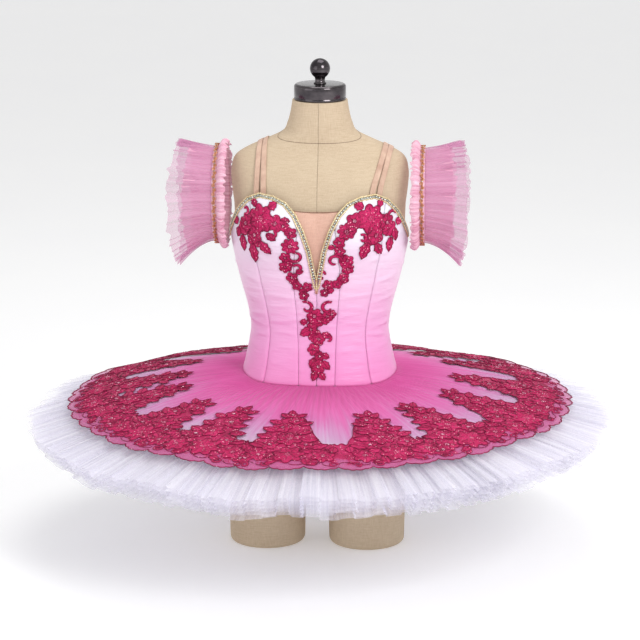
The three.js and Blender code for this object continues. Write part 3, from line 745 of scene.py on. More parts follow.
def make_form():
    """Torso, thigh ends, neck cap and finial: level sections and turned profiles."""
    heights = np.concatenate([np.linspace(TORSO_BOTTOM, 690, 76), np.linspace(692, NECK_TOP, 58)])
    around = np.arange(128) / 128 * 360
    turn, height = np.meshgrid(around, heights, indexing="ij")
    inset = FORM_INSET * np.clip((675 - height) / 50, 0, 1)
    neck_line = neck_seam_height(turn)
    neck_seam = np.exp(-((height - neck_line) / 1.3) ** 2)
    sunk = 0.8 * neck_seam
    points = body_point(turn, height, -inset - sunk, BUST["rise"] / 2)
    caps = np.array([[0, 0, TORSO_BOTTOM], [0, 0, NECK_TOP]])
    rows = len(heights)
    k = np.arange(128)
    low = np.stack([np.full(128, 128 * rows), (k + 1) % 128 * rows, k * rows], -1)
    high = np.stack([np.full(128, 128 * rows + 1), k * rows + rows - 1, (k + 1) % 128 * rows + rows - 1], -1)
    torso = build("form_torso_linen", np.concatenate([points.reshape(-1, 3), caps]),
                  quads_of(128, rows, wrap=True), np.concatenate([low, high]))
    dress(torso, LINEN, ["form_torso"])
    pile = Pile()
    turn = np.arange(160) / 160 * 360
    path = body_point(turn, neck_seam_height(turn), -0.7)
    tube(pile, path, body_point(turn, neck_seam_height(turn), 4) - path, 0.7, 0.5, 5, closed=True)
    height = np.linspace(612, NECK_TOP - 0.5, 90)
    inset = FORM_INSET * np.clip((675 - height) / 50, 0, 1)
    path = body_point(0 * height, height, -0.25 - inset, BUST["rise"] / 2)
    tube(pile, path, path * [0, 1, 0], 0.5, 0.5, 5)
    dress(pile.piece("form_seam_thread"), SEAM)
    for side, across in (("left", -95.0), ("right", 85.0)):
        profile = [(r, h) for r, h in zip(6 + 62 * np.sin(np.linspace(0, 90, 8) * DEGREE),
                                           9 - 9 * np.sin(np.linspace(0, 90, 8)[::-1] * DEGREE))]
        profile = np.array([(0.0, 0.0), (58.0, 0.0)] + [(60 + 8 * math.sin(a * DEGREE), 9 - 9 * math.cos(a * DEGREE))
                            for a in range(0, 91, 15)] + [(69, 60), (69, 120), (68, 180), (67, 234.6), (0, 234.6)])
        deep = np.interp(profile[:, 1], [0, 9, 120, 234.7], [72, 74, 80, 92]) / 68
        angle = np.arange(96) / 96 * 2 * np.pi
        radius = profile[None, :, 0]
        points = np.stack([across + radius * np.sin(angle)[:, None],
                           -radius * deep[None] * np.cos(angle)[:, None],
                           np.broadcast_to(profile[None, :, 1], (96, len(profile)))], -1)
        thigh = build(f"form_thigh_{side}_linen", points.reshape(-1, 3), quads_of(96, len(profile), wrap=True))
        weld(thigh)
        dress(thigh, LINEN, [f"form_thigh_{side}"])
    low = NECK_TOP + 0.3
    corner = [(41 + 5 * math.cos(a * DEGREE), low + 23 + 5 * math.sin(a * DEGREE)) for a in range(0, 91, 10)]
    lip = [(45.2, low), (46, low + 0.9), (46, low + 4), (45.3, low + 5), (45.3, low + 6), (46, low + 7)]
    turned("neck_cap_chrome", [(0, low)] + lip + corner + [(11, low + 28), (0, low + 28)], "neck_cap")
    low = NECK_TOP + 28.6
    centre = low + 11 + 18 * 0.85
    start = math.asin(9.5 / 18)
    arc = [(18 * math.sin(a), centre - 18 * math.cos(a)) for a in np.linspace(start, math.pi, 30)]
    stem = [(0, low), (11, low), (11.2, low + 1.2), (9.6, low + 2), (8.6, low + 5), (9.2, low + 9)]
    turned("finial_chrome", stem + arc, "finial")


def turned(name, profile, node):
    """Turn a profile of radius and height round the upright axis."""
    profile = np.array(profile, float)
    angle = np.arange(96) / 96 * 2 * np.pi
    points = np.stack([profile[None, :, 0] * np.sin(angle)[:, None],
                       -profile[None, :, 0] * np.cos(angle)[:, None],
                       np.broadcast_to(profile[None, :, 1], (96, len(profile)))], -1)
    piece = build(name, points.reshape(-1, 3), quads_of(96, len(profile), wrap=True))
    weld(piece)
    return dress(piece, CHROME, [node])


def weld(piece, near=1e-6):
    """Merge points that fall together, as at the poles of a turned shape."""
    import bmesh
    work = bmesh.new()
    work.from_mesh(piece.data)
    bmesh.ops.remove_doubles(work, verts=work.verts, dist=near)
    work.to_mesh(piece.data)
    work.free()


# ---------------------------------------------------------------- the bodice
CREASES = np.array([  # turn, height, half length mm, tilt degrees, half width mm, depth mm
    (26, 470, 26, 4, 3.4, 0.9), (31, 448, 22, -6, 3.0, 0.8), (22, 436, 24, 8, 3.2, 0.8),
    (30, 420, 24, -4, 3.6, 1.0), (24, 403, 26, 3, 3.2, 1.0), (33, 388, 20, -9, 2.8, 0.8),
    (22, 372, 22, 6, 3.4, 0.8), (31, 352, 20, -4, 3.0, 0.6), (58, 500, 30, 14, 4.0, 1.0),
    (64, 462, 32, 8, 4.0, 1.1), (56, 436, 30, -5, 3.4, 1.0), (68, 414, 34, 4, 3.8, 1.3),
    (58, 396, 30, -8, 3.2, 1.2), (70, 376, 30, 7, 3.6, 0.9), (7, 452, 16, 5, 3.0, 0.5),
    (6, 418, 14, -7, 3.0, 0.5), (8, 392, 14, 4, 2.8, 0.5), (110, 470, 30, -8, 4.0, 0.9),
    (118, 430, 34, 5, 3.8, 1.2), (108, 404, 30, -4, 3.4, 1.2), (124, 380, 28, 8, 3.4, 0.8),
    (158, 452, 24, 6, 3.6, 0.7), (152, 418, 26, -6, 3.4, 0.9), (160, 394, 24, 4, 3.2, 0.8),
    (40, 540, 20, 32, 4.5, 0.8), (52, 556, 18, 40, 4.5, 0.7), (84, 520, 22, -20, 4.0, 0.8),
])


def creases(turn, height, hand):
    """Soft ridges: each row is a bell across its width and along its length, mirrored unevenly."""
    total = np.zeros_like(turn)
    for k, (at, level, half, tilt, width, depth) in enumerate(CREASES):
        shift = 4.0 * math.sin(k * 2.4) if hand < 0 else 0.0
        scale = 1 + 0.25 * math.sin(k * 1.7 + (2 if hand < 0 else 0))
        along = (turn - at) * 2.1
        up = height - level - shift
        c, s = math.cos(tilt * DEGREE), math.sin(tilt * DEGREE)
        total += depth * scale * np.exp(-((up * c - along * s) / width) ** 2 - ((along * c + up * s) / half) ** 2)
    return total


def make_bodice():
    """Each panel runs between two seams: crowned between them, drawn in and puckered along them."""
    for base, start, end in PANELS:
        for hand, side in ((-1, "left"), (1, "right")):
            u = np.linspace(0, 1, 35)
            v = np.linspace(0, 1, 105)
            across, level = np.meshgrid(u, v, indexing="ij")
            a = np.interp(level, SEAM_LEVELS, SEAMS[start]) + 0.07
            b = np.interp(level, SEAM_LEVELS, SEAMS[end]) - 0.07
            turn = a + (b - a) * across
            low, high = basque(turn), neckline(turn)
            height = low + (high - low) * level
            wide = (b - a) * 2.25
            near = np.minimum(across, 1 - across) * wide
            pucker = 0.22 * np.sin(height * 0.62 + 2 * np.sin(height * 0.11)) * np.exp(-(near / 9) ** 2)
            drawn = -1.25 * np.exp(-(near / 2.6) ** 2) + 0.5 * np.clip(near / 14, 0, 1)
            edge = np.minimum(high - height, height - low)
            rolled = -0.9 * np.exp(-(edge / 1.6) ** 2)
            out = BODICE_OUT + WALL - 0.4 + drawn + pucker + rolled + 1.4 * creases(turn, height, hand)
            points = body_point(hand * turn, height, out)
            name = f"{base}_{side}"
            piece = build(name + "_satin", points.reshape(-1, 3), quads_of(35, 105, flip=hand < 0))
            thicken(piece, 1.2)
            dress(piece, SATIN, [name])
            cloth(piece)


def make_insert():
    """The net insert lies across the chest behind the plunge, bound at its top edge."""
    turn, level = np.meshgrid(np.linspace(-14.5, 14.5, 33), np.linspace(0, 1, 33), indexing="ij")
    low = np.minimum(neckline(turn) - 8, 613)
    high = 627 - 4 * np.cos(turn / 14.5 * np.pi / 2)
    height = low + (high - low) * level
    points = body_point(turn, height, 1.2 + 0.25 * np.sin(turn * 0.9) * level)
    piece = build("plunge_insert_net", points.reshape(-1, 3), quads_of(33, 33))
    thicken(piece, 0.7)
    dress(piece, SKIN_NET, ["plunge_insert"])
    cloth(piece)
    pile = Pile()
    turn = np.linspace(-14.3, 14.3, 60)
    top = 627 - 4 * np.cos(turn / 14.5 * np.pi / 2)
    path = body_point(turn, top, 1.3)
    tube(pile, path, body_point(turn, top, 5.0) - path, 0.9, 0.7, 6)
    dress(pile.piece("plunge_insert_binding"), BINDING)


def along_neckline(hand, spacing, out, shift=0.0, first=0.0, last=79.0):
    """Evenly spaced points on the neckline of one side, moved down the panel by `shift`,
    with the outward direction at each."""
    turn = np.linspace(first, last, 1600)
    curve = body_point(hand * turn, neckline(turn), out)
    outward = unit(body_point(hand * turn, neckline(turn), out + 1) - curve)
    along = unit(np.gradient(curve, axis=0))
    down = unit(np.cross(along, outward)) * hand
    curve = curve + down * shift
    if shift and first == 0.0:
        keep = curve[:, 0] * hand > 0
        curve, outward, along = curve[keep], outward[keep], along[keep]
    run = np.concatenate([[0], np.cumsum(np.linalg.norm(np.diff(curve, axis=0), axis=1))])
    marks = np.arange(0, run[-1], spacing)
    pick = [np.interp(marks, run, curve[:, k]) for k in range(3)]
    face = [np.interp(marks, run, outward[:, k]) for k in range(3)]
    return np.stack(pick, -1), unit(np.stack(face, -1))


def make_neckline_braid():
    """Two twisted pale gold cords, met in a point at the plunge, with pale gems set between them."""
    for hand, side in ((-1, "left"), (1, "right")):
        cords, gems = Pile(), Pile()
        for shift in (-3.3, 3.3):
            path, outward = along_neckline(hand, 1.1, 6.9, shift)
            if shift < 0:
                point = body_point(hand * 0.25, np.array([NECK_EDGE[0, 1] - 10]), 6.9)
                path = np.concatenate([point + (path[:1] - point) * k for k in (0, 0.33, 0.67)] + [path])
                outward = np.concatenate([outward[:1]] * 3 + [outward])
            twist = 1 + 0.28 * np.sin(np.arange(len(path)) * 1.9)
            tube(cords, path, outward, 1.45 * twist, 1.2 * twist, 6)
        path, outward = along_neckline(hand, 5.6, 6.6, 0.0, 1.2)
        for centre, face in zip(path, outward):
            bead(gems, centre, face, 2.5, 8, 0.95)
        dress(cords.piece(f"neckline_braid_{side}_cords"), PALE_GOLD, [f"neckline_braid_{side}"])
        dress(gems.piece(f"neckline_braid_{side}_gems"), GEM)


# ---------------------------------------------------------------- straps
STRANDS = (("strap_left_inner", -95.0, -96.0), ("strap_left_outer", -107.5, -105.4),
           ("strap_right_inner", 96.0, 117.0), ("strap_right_outer", 108.5, 126.4))
CLIMB = np.array([628, 645, 662, 680, 696, 708, 716, 722, 727.0])
BACK_END = np.array([600.0, 566.0])


def make_straps():
    """Each strand climbs the chest, passes over the shoulder and goes down the back."""
    for name, cup, shoulder in STRANDS:
        climb = CLIMB[read_smooth(BODY, 1, CLIMB) > abs(shoulder) + 3]
        fine = np.linspace(climb[-1], 745, 600)
        crest = fine[np.argmin(np.abs(read_smooth(BODY, 1, fine) - abs(shoulder)))]

        def on_form(height, behind):
            across = cup + (shoulder - cup) * np.clip((height - 655) / 70, 0, 1)
            turn = turn_at(across, height)
            deep = body_point(180 - turn if behind else turn, height, 0, BUST["rise"] / 2)[..., 1]
            return np.stack([across, deep, height], -1)

        path = np.concatenate([on_form(climb, False), [[shoulder, 0, crest]],
                               on_form(climb[::-1], True), on_form(BACK_END, True)])
        spine = smooth_path(path, 160)
        along = unit(np.gradient(spine, axis=0))
        outward = unit(np.cross([1.0, 0, 0], along))
        tilt = -np.sign(shoulder) * 0.5 * np.maximum(0, outward[:, 2])
        across = unit(np.stack([np.ones(160), np.zeros(160), tilt], -1))
        place = np.linspace(-1, 1, 9)
        rounded = 2.9 - 0.5 * np.abs(place) ** 4
        points = (spine[:, None] + across[:, None] * (place * 4.9)[None, :, None]
                  + outward[:, None] * rounded[None, :, None])
        piece = build(name + "_elastic", points.reshape(-1, 3), quads_of(160, 9, flip=True))
        thicken(piece, 1.0)
        dress(piece, ELASTIC, [name])
        cloth(piece)


def smooth_path(points, count):
    """A smooth curve through a few points: the mean of the parabolas through neighbours."""
    step = np.concatenate([[0], np.cumsum(np.linalg.norm(np.diff(points, axis=0), axis=1))])
    fine = np.linspace(0, step[-1], count)
    table = np.concatenate([step[:, None], points], 1)
    return np.stack([read_smooth(table, k, fine) for k in (1, 2, 3)], -1)


# ---------------------------------------------------------------- arm frills
def arm_point(hand, across, radius, round_):
    """A point on a ring round the arm's axis; round starts at the top and goes to the front."""
    angle = round_ * DEGREE
    return np.stack([hand * across, -radius * ARM_FLAT * np.sin(angle),
                     ARM_HEIGHT + radius * np.cos(angle)], -1)


def ring_sheet(name, columns, rows, shape, hand, thick=None):
    """A ring of cloth from its shape: across and radius as functions of round and along."""
    round_, along = np.meshgrid(np.arange(columns) / columns * 360, np.linspace(0, 1, rows), indexing="ij")
    across, radius = shape(round_, along)
    points = arm_point(hand, across, radius, round_)
    piece = build(name, points.reshape(-1, 3), quads_of(columns, rows, wrap=True, flip=hand < 0))
    if thick:
        thicken(piece, thick)
    cloth(piece)
    return piece


def pleats(round_, count, seed):
    """Uneven gathers: a wave whose spacing and size wander, the same after a full turn."""
    a = round_ * DEGREE
    wander = 2.2 * np.sin(5 * a + seed) + 1.5 * np.sin(11 * a + 2 * seed) + 0.8 * np.sin(23 * a + 3 * seed)
    size = 0.75 + 0.25 * np.sin(7 * a + seed * 1.3)
    return size * np.sin(count * a + wander)


def make_arm_frills():
    for hand, side in ((-1, "left"), (1, "right")):
        seed = 0.7 + hand

        def frill(r0, r1, x1, bow, drop, size, count, shift):
            def shape(round_, along):
                loose = along ** 2
                a = round_ * DEGREE
                wave = (0.6 + size * along ** 1.3) * pleats(round_, count, seed + shift)
                fine = (0.5 + 0.6 * along) * pleats(round_, count * 2 + 7, seed + 2 * shift)
                droop = drop * loose * (1 - np.cos(a)) / 2
                edge = 3.0 * loose * pleats(round_, 9, seed + shift + 1) + 1.6 * loose * pleats(round_, count, seed + 4)
                radius = r0 + (r1 - r0) * along + wave * np.minimum(1, 0.25 + along) + fine + droop
                across = 187.4 + (x1 - 187.4) * along + bow * loose * np.abs(np.sin(a)) + edge
                return across, radius
            return shape

        under = ring_sheet(f"arm_frill_under_{side}_tulle", 600, 12, frill(80.5, 87, 227, 12, 14, 3.4, 34, 0.3), hand)
        dress(under, FRILL_UNDER, [f"arm_frill_under_{side}"])
        over = ring_sheet(f"arm_frill_over_{side}_tulle", 720, 15, frill(84.4, 94, 247, 17, 30, 5.4, 37, 0.0), hand)
        dress(over, FRILL_OVER, [f"arm_frill_over_{side}"])
        band = ring_sheet(f"arm_band_{side}_elastic", 240, 6, lambda r, v: (
            166 + 21 * v, 86.2 + 0.5 * pleats(r, 90, 1.0) * np.sin(v * np.pi) - 0.5 * np.abs(2 * v - 1) ** 3), hand, 1.4)
        dress(band, HEADING, [f"arm_band_{side}"])

        def heading(round_, v):
            lobe = np.sin(np.pi * v)
            across = 178.5 - 15.5 * v + 2.4 * v * pleats(round_, 26, seed) + 1.0 * v * pleats(round_, 61, seed)
            radius = 87.8 + 6.5 * lobe + 4.5 * v + 2.6 * v * pleats(round_, 40, seed + 2) + 1.2 * pleats(round_, 97, seed)
            return across, radius

        ruffle = ring_sheet(f"arm_heading_{side}_tulle", 660, 10, heading, hand)
        dress(ruffle, HEADING, [f"arm_heading_{side}"])
        gold, gems = Pile(), Pile()
        round_ = np.arange(720) / 720 * 360
        zigzag = 2 / np.pi * np.arcsin(np.sin(round_ * DEGREE * 36))
        outward = arm_point(0, 0 * round_, 90 + 0 * round_, round_) - [0, 0, ARM_HEIGHT]
        for way in (1, -0.55):
            path = arm_point(hand, 182.5 + 3.4 * way * zigzag, 88.6 + 0.4 * way + 0 * round_, round_)
            tube(gold, path, outward, 1.15 if way == 1 else 0.7, 0.9, 5, closed=True)
        path = arm_point(hand, 182.5 + 0 * round_, 87.7 + 0 * round_, round_)
        tube(gold, path, outward, 0.7, 0.6, 4, closed=True)
        for k in range(36):
            spot = (k + 0.5) / 36 * 360.0
            centre = arm_point(hand, np.array(182.5), np.array(88.9), np.array(spot))
            bead(gems, centre, centre - [hand * 182.5, 0, ARM_HEIGHT], 1.5, 6, 0.9)
        dress(gold.piece(f"arm_braid_{side}_cords"), COPPER, [f"arm_braid_{side}"])
        dress(gems.piece(f"arm_braid_{side}_gems"), GEM)


# ---------------------------------------------------------------- skirt
def ripple(turn, radius):
    """The skirt's broad folds and its lean, which all the layers share."""
    wave = (3 * np.cos((13 * turn + 20) * DEGREE) + 2.2 * np.cos((9 * turn - 60) * DEGREE)
            - 7 * np.cos(2 * turn * DEGREE) + 5 * np.sin(turn * DEGREE))
    return np.clip((radius - 250) / 270, 0, 1) ** 2 * wave


def skirt_point(layer, turn, out, lift=0.0):
    """From the hip line, out = 0, to the rim, out = 1, bending down later than it goes out."""
    sewn = basque(turn) - layer["sewn"]
    hip = body_point(turn, sewn, HIP_OUT)
    start = np.hypot(hip[..., 0], hip[..., 1])
    radius = start + (layer["rim"] - start) * out
    lean = np.arctan2(hip[..., 0], -hip[..., 1]) - turn * DEGREE
    lean = np.arctan2(np.sin(lean), np.cos(lean)) * (1 - np.clip(out * 3, 0, 1))
    angle = turn * DEGREE + lean
    drop = (sewn - layer["height"]) * np.clip(out, 0, 1.2) ** DROOP_POWER
    return np.stack([radius * np.sin(angle), -radius * np.cos(angle),
                     sewn - drop + ripple(turn, radius) + lift], -1)


def lace_surface(turn, radius, lift=0.0):
    """The top face of the overskirt at a distance from the axis, moved up by `lift`."""
    sewn = basque(turn) - OVERSKIRT["sewn"]
    hip = body_point(turn, sewn, HIP_OUT)
    start = np.hypot(hip[..., 0], hip[..., 1])
    return skirt_point(OVERSKIRT, turn, (radius - start) / (OVERSKIRT["rim"] - start), lift)


def flutes(turn, seed, count):
    """Folded flutes of uneven width: how far up each point goes, and how far round it is pushed so
    that one flute laps over the next. Both are -1 to 1 and join after a full turn."""
    rng = np.random.default_rng(seed)
    widths = rng.uniform(0.55, 1.5, count)
    edges = np.concatenate([[0], np.cumsum(widths)]) / widths.sum() * 360
    sizes = rng.uniform(0.45, 1.0, count)
    marks = np.arange(count + 1)
    phase = np.interp(np.mod(turn, 360), edges, marks)
    size = np.interp(phase, marks, np.append(sizes, sizes[0]))
    angle = 2 * np.pi * phase
    return size * np.tanh(2.0 * np.sin(angle)) / math.tanh(2.0), -size * np.sin(2 * angle)


def make_skirt():
    columns, rows = 1260, 14
    turn, out = np.meshgrid(np.arange(columns) / columns * 360, np.linspace(0, 1, rows) ** 0.8, indexing="ij")
    box_up, box_lap = flutes(turn, 5, 68)
    for k, layer in enumerate(TULLE, 1):
        radius = 130 + (layer["rim"] - 130) * out
        grow = np.clip((radius - 290) / 230, 0, 1) ** 1.2
        own_up, own_lap = flutes(turn, 40 + k, 61)
        slow_up, slow_lap = flutes(turn, 70 + k, 23)
        lift = grow * (5.6 * box_up + 2.0 * own_up + 2.6 * slow_up) - 0.6
        shift = grow * (6.5 * box_lap + 3.0 * own_lap + 3.0 * slow_lap) / np.maximum(radius, 1) / DEGREE
        reach = 1 + grow * ((0.006 + 0.003 * k) * slow_up + 0.006 * own_up + 0.010 * box_up)
        points = skirt_point(layer, turn + shift, out * reach, lift)
        piece = build(f"tulle_{k}_net", points.reshape(-1, 3), quads_of(columns, rows, wrap=True, flip=True))
        dress(piece, WHITE_NET, [f"tulle_{k}"])
        cloth(piece)
    columns, rows = 960, 16
    turn, out = np.meshgrid(np.arange(columns) / columns * 360, np.linspace(0, 1, rows), indexing="ij")
    a = turn * DEGREE
    near = np.clip(1 - out * 1.4, 0, 1)
    folds = 1.1 * near * np.sin(120 * a + 3 * np.sin(7 * a)) * np.clip(out * 12, 0, 1)
    broad = 1.0 * out * np.sin(34 * a + 2 * np.sin(5 * a))
    rise = 2.2 * np.clip(1 - out * 25, 0, 1)
    points = skirt_point(OVERSKIRT, turn, out * 0.955, folds + broad - 0.6 + rise)
    piece = build("overskirt_net", points.reshape(-1, 3), quads_of(columns, rows, wrap=True, flip=True))
    dress(piece, SHADED_NET, ["overskirt"])
    cloth(piece)


def make_briefs():
    """Briefs that carry the tulle, with the strip between the legs."""
    turn, level = np.meshgrid(np.arange(128) / 128 * 360, np.linspace(0, 1, 12), indexing="ij")
    low = TORSO_BOTTOM - 0.5 + 38 * np.sin(turn * DEGREE) ** 2
    high = basque(turn) - 0.3
    points = body_point(turn, low + (high - low) * level, 2.0 + 0.15 * np.sin(turn * 1.3))
    piece = build("briefs_net", points.reshape(-1, 3), quads_of(128, 12, wrap=True))
    thicken(piece, 0.9)
    dress(piece, WHITE_NET, ["briefs"])
    cloth(piece)
    x, y = np.meshgrid(np.linspace(-24, 14, 9), np.linspace(-100, 116, 33), indexing="ij")
    z = 233.7 - 0.4 * np.abs((x + 5) / 19) ** 3
    points = np.stack([x, y, z], -1)
    strip = build("briefs_gusset_net", points.reshape(-1, 3), quads_of(9, 33))
    thicken(strip, 0.9)
    dress(strip, WHITE_NET, ["briefs_gusset"])
    cloth(strip)


# ---------------------------------------------------------------- lace motifs
class Ground:
    """A surface that motifs are laid on: place(p, q, lift) takes millimetres from a chosen centre."""

    def __init__(self, place):
        self.place = place

    def lay(self, local):
        local = np.asarray(local, float)
        return self.place(local[..., 0], local[..., 1], local[..., 2])

    def facing(self, p, q):
        low = self.place(p, q, np.zeros_like(p))
        high = self.place(p, q, np.ones_like(p))
        return unit(high - low)


def skirt_ground(turn, radius):
    """Ground on the skirt: p runs round towards +X, q runs out from the waist."""
    def place(p, q, lift):
        r = radius + np.asarray(q, float)
        t = turn + np.asarray(p, float) / r / DEGREE
        return lace_surface(t, r, 1.9 + np.asarray(lift, float))
    return Ground(place)


def bodice_ground(across, height):
    """Ground on the bodice: p runs round towards +X and q runs up."""
    centre = float(turn_at(across, height))
    stretch = np.linalg.norm(body_point(centre + 0.5, height) - body_point(centre - 0.5, height))

    def place(p, q, lift):
        t = centre + np.asarray(p, float) / stretch
        return body_point(t, height + np.asarray(q, float), 6.1 + np.asarray(lift, float))
    return Ground(place)


def swing(points, angle, centre=(0, 0)):
    """Turn local points about a local centre, in the surface."""
    c, s = math.cos(angle * DEGREE), math.sin(angle * DEGREE)
    p, q = points[..., 0], points[..., 1]
    return np.stack([centre[0] + p * c - q * s, centre[1] + p * s + q * c, points[..., 2]], -1)


def edge_cord(ground, cords, outline, wide, closed=True):
    path = ground.lay(outline)
    outward = ground.facing(outline[..., 0], outline[..., 1])
    tube(cords, path, outward, wide, wide * 0.8, 3, closed=closed)


def blossom(ground, fills, cords, beads, centre, size, petals, angle=0.0, notch=0.42):
    """A flower: its edge swells once a petal, the petals are domed, and a cord edges them."""
    steps = petals * 7
    a = np.arange(steps) / steps * 2 * np.pi
    swell = 1 - notch + notch * np.abs(np.cos(petals * a / 2)) ** 0.75
    rings = np.array([0.16, 0.42, 0.72, 1.0])
    t, b = np.meshgrid(rings, a, indexing="ij")
    s = np.broadcast_to(swell, t.shape)
    dome = size * 0.085 * np.sin(np.pi * t ** 0.8) * (0.35 + 0.65 * np.abs(np.cos(petals * b / 2)))
    local = np.stack([t * s * size * np.cos(b), t * s * size * np.sin(b), dome + 0.3], -1)
    local = swing(local, angle, centre)
    middle = np.array([[centre[0], centre[1], 0.9]])
    points = ground.lay(np.concatenate([middle, local.reshape(-1, 3)]))
    k = np.arange(steps)
    tris = np.stack([np.zeros(steps, int), 1 + k, 1 + (k + 1) % steps], -1)
    i = np.arange(3)[:, None] * steps
    quads = np.stack([1 + i + k, 1 + i + steps + k, 1 + i + steps + (k + 1) % steps,
                      1 + i + (k + 1) % steps], -1).reshape(-1, 4)
    fills.add(points, quads, tris)
    outline = np.stack([swell * size * np.cos(a), swell * size * np.sin(a), np.full(steps, 0.7)], -1)
    edge_cord(ground, cords, swing(outline, angle, centre), min(1.0, max(0.6, size * 0.035)))
    ring = np.stack([size * 0.26 * np.cos(a[::4]), size * 0.26 * np.sin(a[::4]), np.full(len(a[::4]), 1.5)], -1)
    edge_cord(ground, cords, swing(ring, angle, centre), max(0.5, size * 0.026))
    for n in range(petals):
        vein_angle = 2 * n * np.pi / petals
        r = np.linspace(0.3, 0.8, 3) * size
        vein = np.stack([r * math.cos(vein_angle), r * math.sin(vein_angle), np.full(3, 0.6 + size * 0.075)], -1)
        edge_cord(ground, cords, swing(vein, angle, centre), 0.45, closed=False)
    count = 7 if size > 11 else 4
    for n in range(count):
        spread = (0.0 if n == 0 else 0.14) * size
        p = centre[0] + spread * math.cos(n * 2 * np.pi / (count - 1))
        q = centre[1] + spread * math.sin(n * 2 * np.pi / (count - 1))
        bead(beads, ground.place(p, q, 1.2), ground.facing(p, q), 1.15, 5, 1.1)
    if size > 15:
        for n in range(petals):
            p = centre[0] + 0.6 * size * math.cos(angle * DEGREE + 2 * n * np.pi / petals + 0.25)
            q = centre[1] + 0.6 * size * math.sin(angle * DEGREE + 2 * n * np.pi / petals + 0.25)
            bead(beads, ground.place(p, q, 1.0 + size * 0.05), ground.facing(p, q), 0.9, 5, 1.1)


def leaf(ground, fills, cords, base, length, width, angle, bend=0.0):
    """A leaf from its base: widest before its middle, toothed, veined, and bent to one side."""
    s = np.linspace(0, 1, 11)
    half = width * np.sin(np.pi * s ** 0.85) ** 0.8 * (1 + 0.16 * np.sin(s * 19))
    middle = bend * length * s * s
    across = np.array([-1, -0.5, 0, 0.5, 1])
    p = s[:, None] * length + 0 * across
    q = middle[:, None] + half[:, None] * across
    lift = 0.3 + width * 0.16 * (1 - across ** 2) * np.sin(np.pi * s)[:, None]
    local = swing(np.stack([p, q, lift], -1), angle, base)
    fills.add(ground.lay(local), quads_of(11, 5))
    up = np.stack([s * length, middle + half, np.full(11, 0.7)], -1)
    down = np.stack([s[::-1] * length, (middle - half)[::-1], np.full(11, 0.7)], -1)
    outline = np.concatenate([up, down[1:-1]])
    edge_cord(ground, cords, swing(outline, angle, base), min(0.95, max(0.6, width * 0.09)))
    vein = np.stack([s[::2] * length, middle[::2], 0.7 + width * 0.16 * np.sin(np.pi * s[::2])], -1)
    edge_cord(ground, cords, swing(vein, angle, base), 0.5, closed=False)


def scroll(ground, fills, cords, base, size, angle, hand=1, turns=1.05, wide=2.0):
    """A scroll: a ribbon of lace that winds in as its radius shrinks, corded along both edges."""
    t = np.linspace(0, 1, 20)
    a = t * turns * 2 * np.pi
    r = size * (1 - 0.66 * t)
    taper = wide * (0.45 + 0.55 * np.sin(np.pi * np.clip(t * 0.9 + 0.12, 0, 1)))
    across = np.array([-1, 0, 1])
    reach = r[:, None] + taper[:, None] * across
    p = size - reach * np.cos(a)[:, None]
    q = hand * reach * np.sin(a)[:, None]
    lift = 0.4 + 0.7 * (1 - across ** 2) + 0 * p
    local = swing(np.stack([p, q, lift], -1), angle, base)
    fills.add(ground.lay(local), quads_of(20, 3, flip=hand > 0))
    for side in (0, 2):
        edge = local[:, side] + [0, 0, 0.3]
        edge_cord(ground, cords, edge, 0.6, closed=False)


def disc(ground, fills, cords, centre, wide, tall, lobes, angle=0.0):
    """A patch of worked lace with a lobed edge, which holds a cluster together."""
    steps = lobes * 6
    a = np.arange(steps) / steps * 2 * np.pi
    swell = 1 - 0.16 + 0.16 * np.abs(np.cos(lobes * a / 2)) ** 0.6
    rings = np.array([0.35, 0.7, 1.0])
    t = rings[:, None] * swell
    local = np.stack([t * wide * np.cos(a), t * tall * np.sin(a), np.full(t.shape, 0.15)], -1)
    local = swing(local, angle, centre)
    middle = np.array([[centre[0], centre[1], 0.15]])
    points = ground.lay(np.concatenate([middle, local.reshape(-1, 3)]))
    k = np.arange(steps)
    tris = np.stack([np.zeros(steps, int), 1 + k, 1 + (k + 1) % steps], -1)
    i = np.arange(2)[:, None] * steps
    quads = np.stack([1 + i + k, 1 + i + steps + k, 1 + i + steps + (k + 1) % steps,
                      1 + i + (k + 1) % steps], -1).reshape(-1, 4)
    fills.add(points, quads, tris)
    edge_cord(ground, cords, local[2] + [0, 0, 0.2], 0.6)


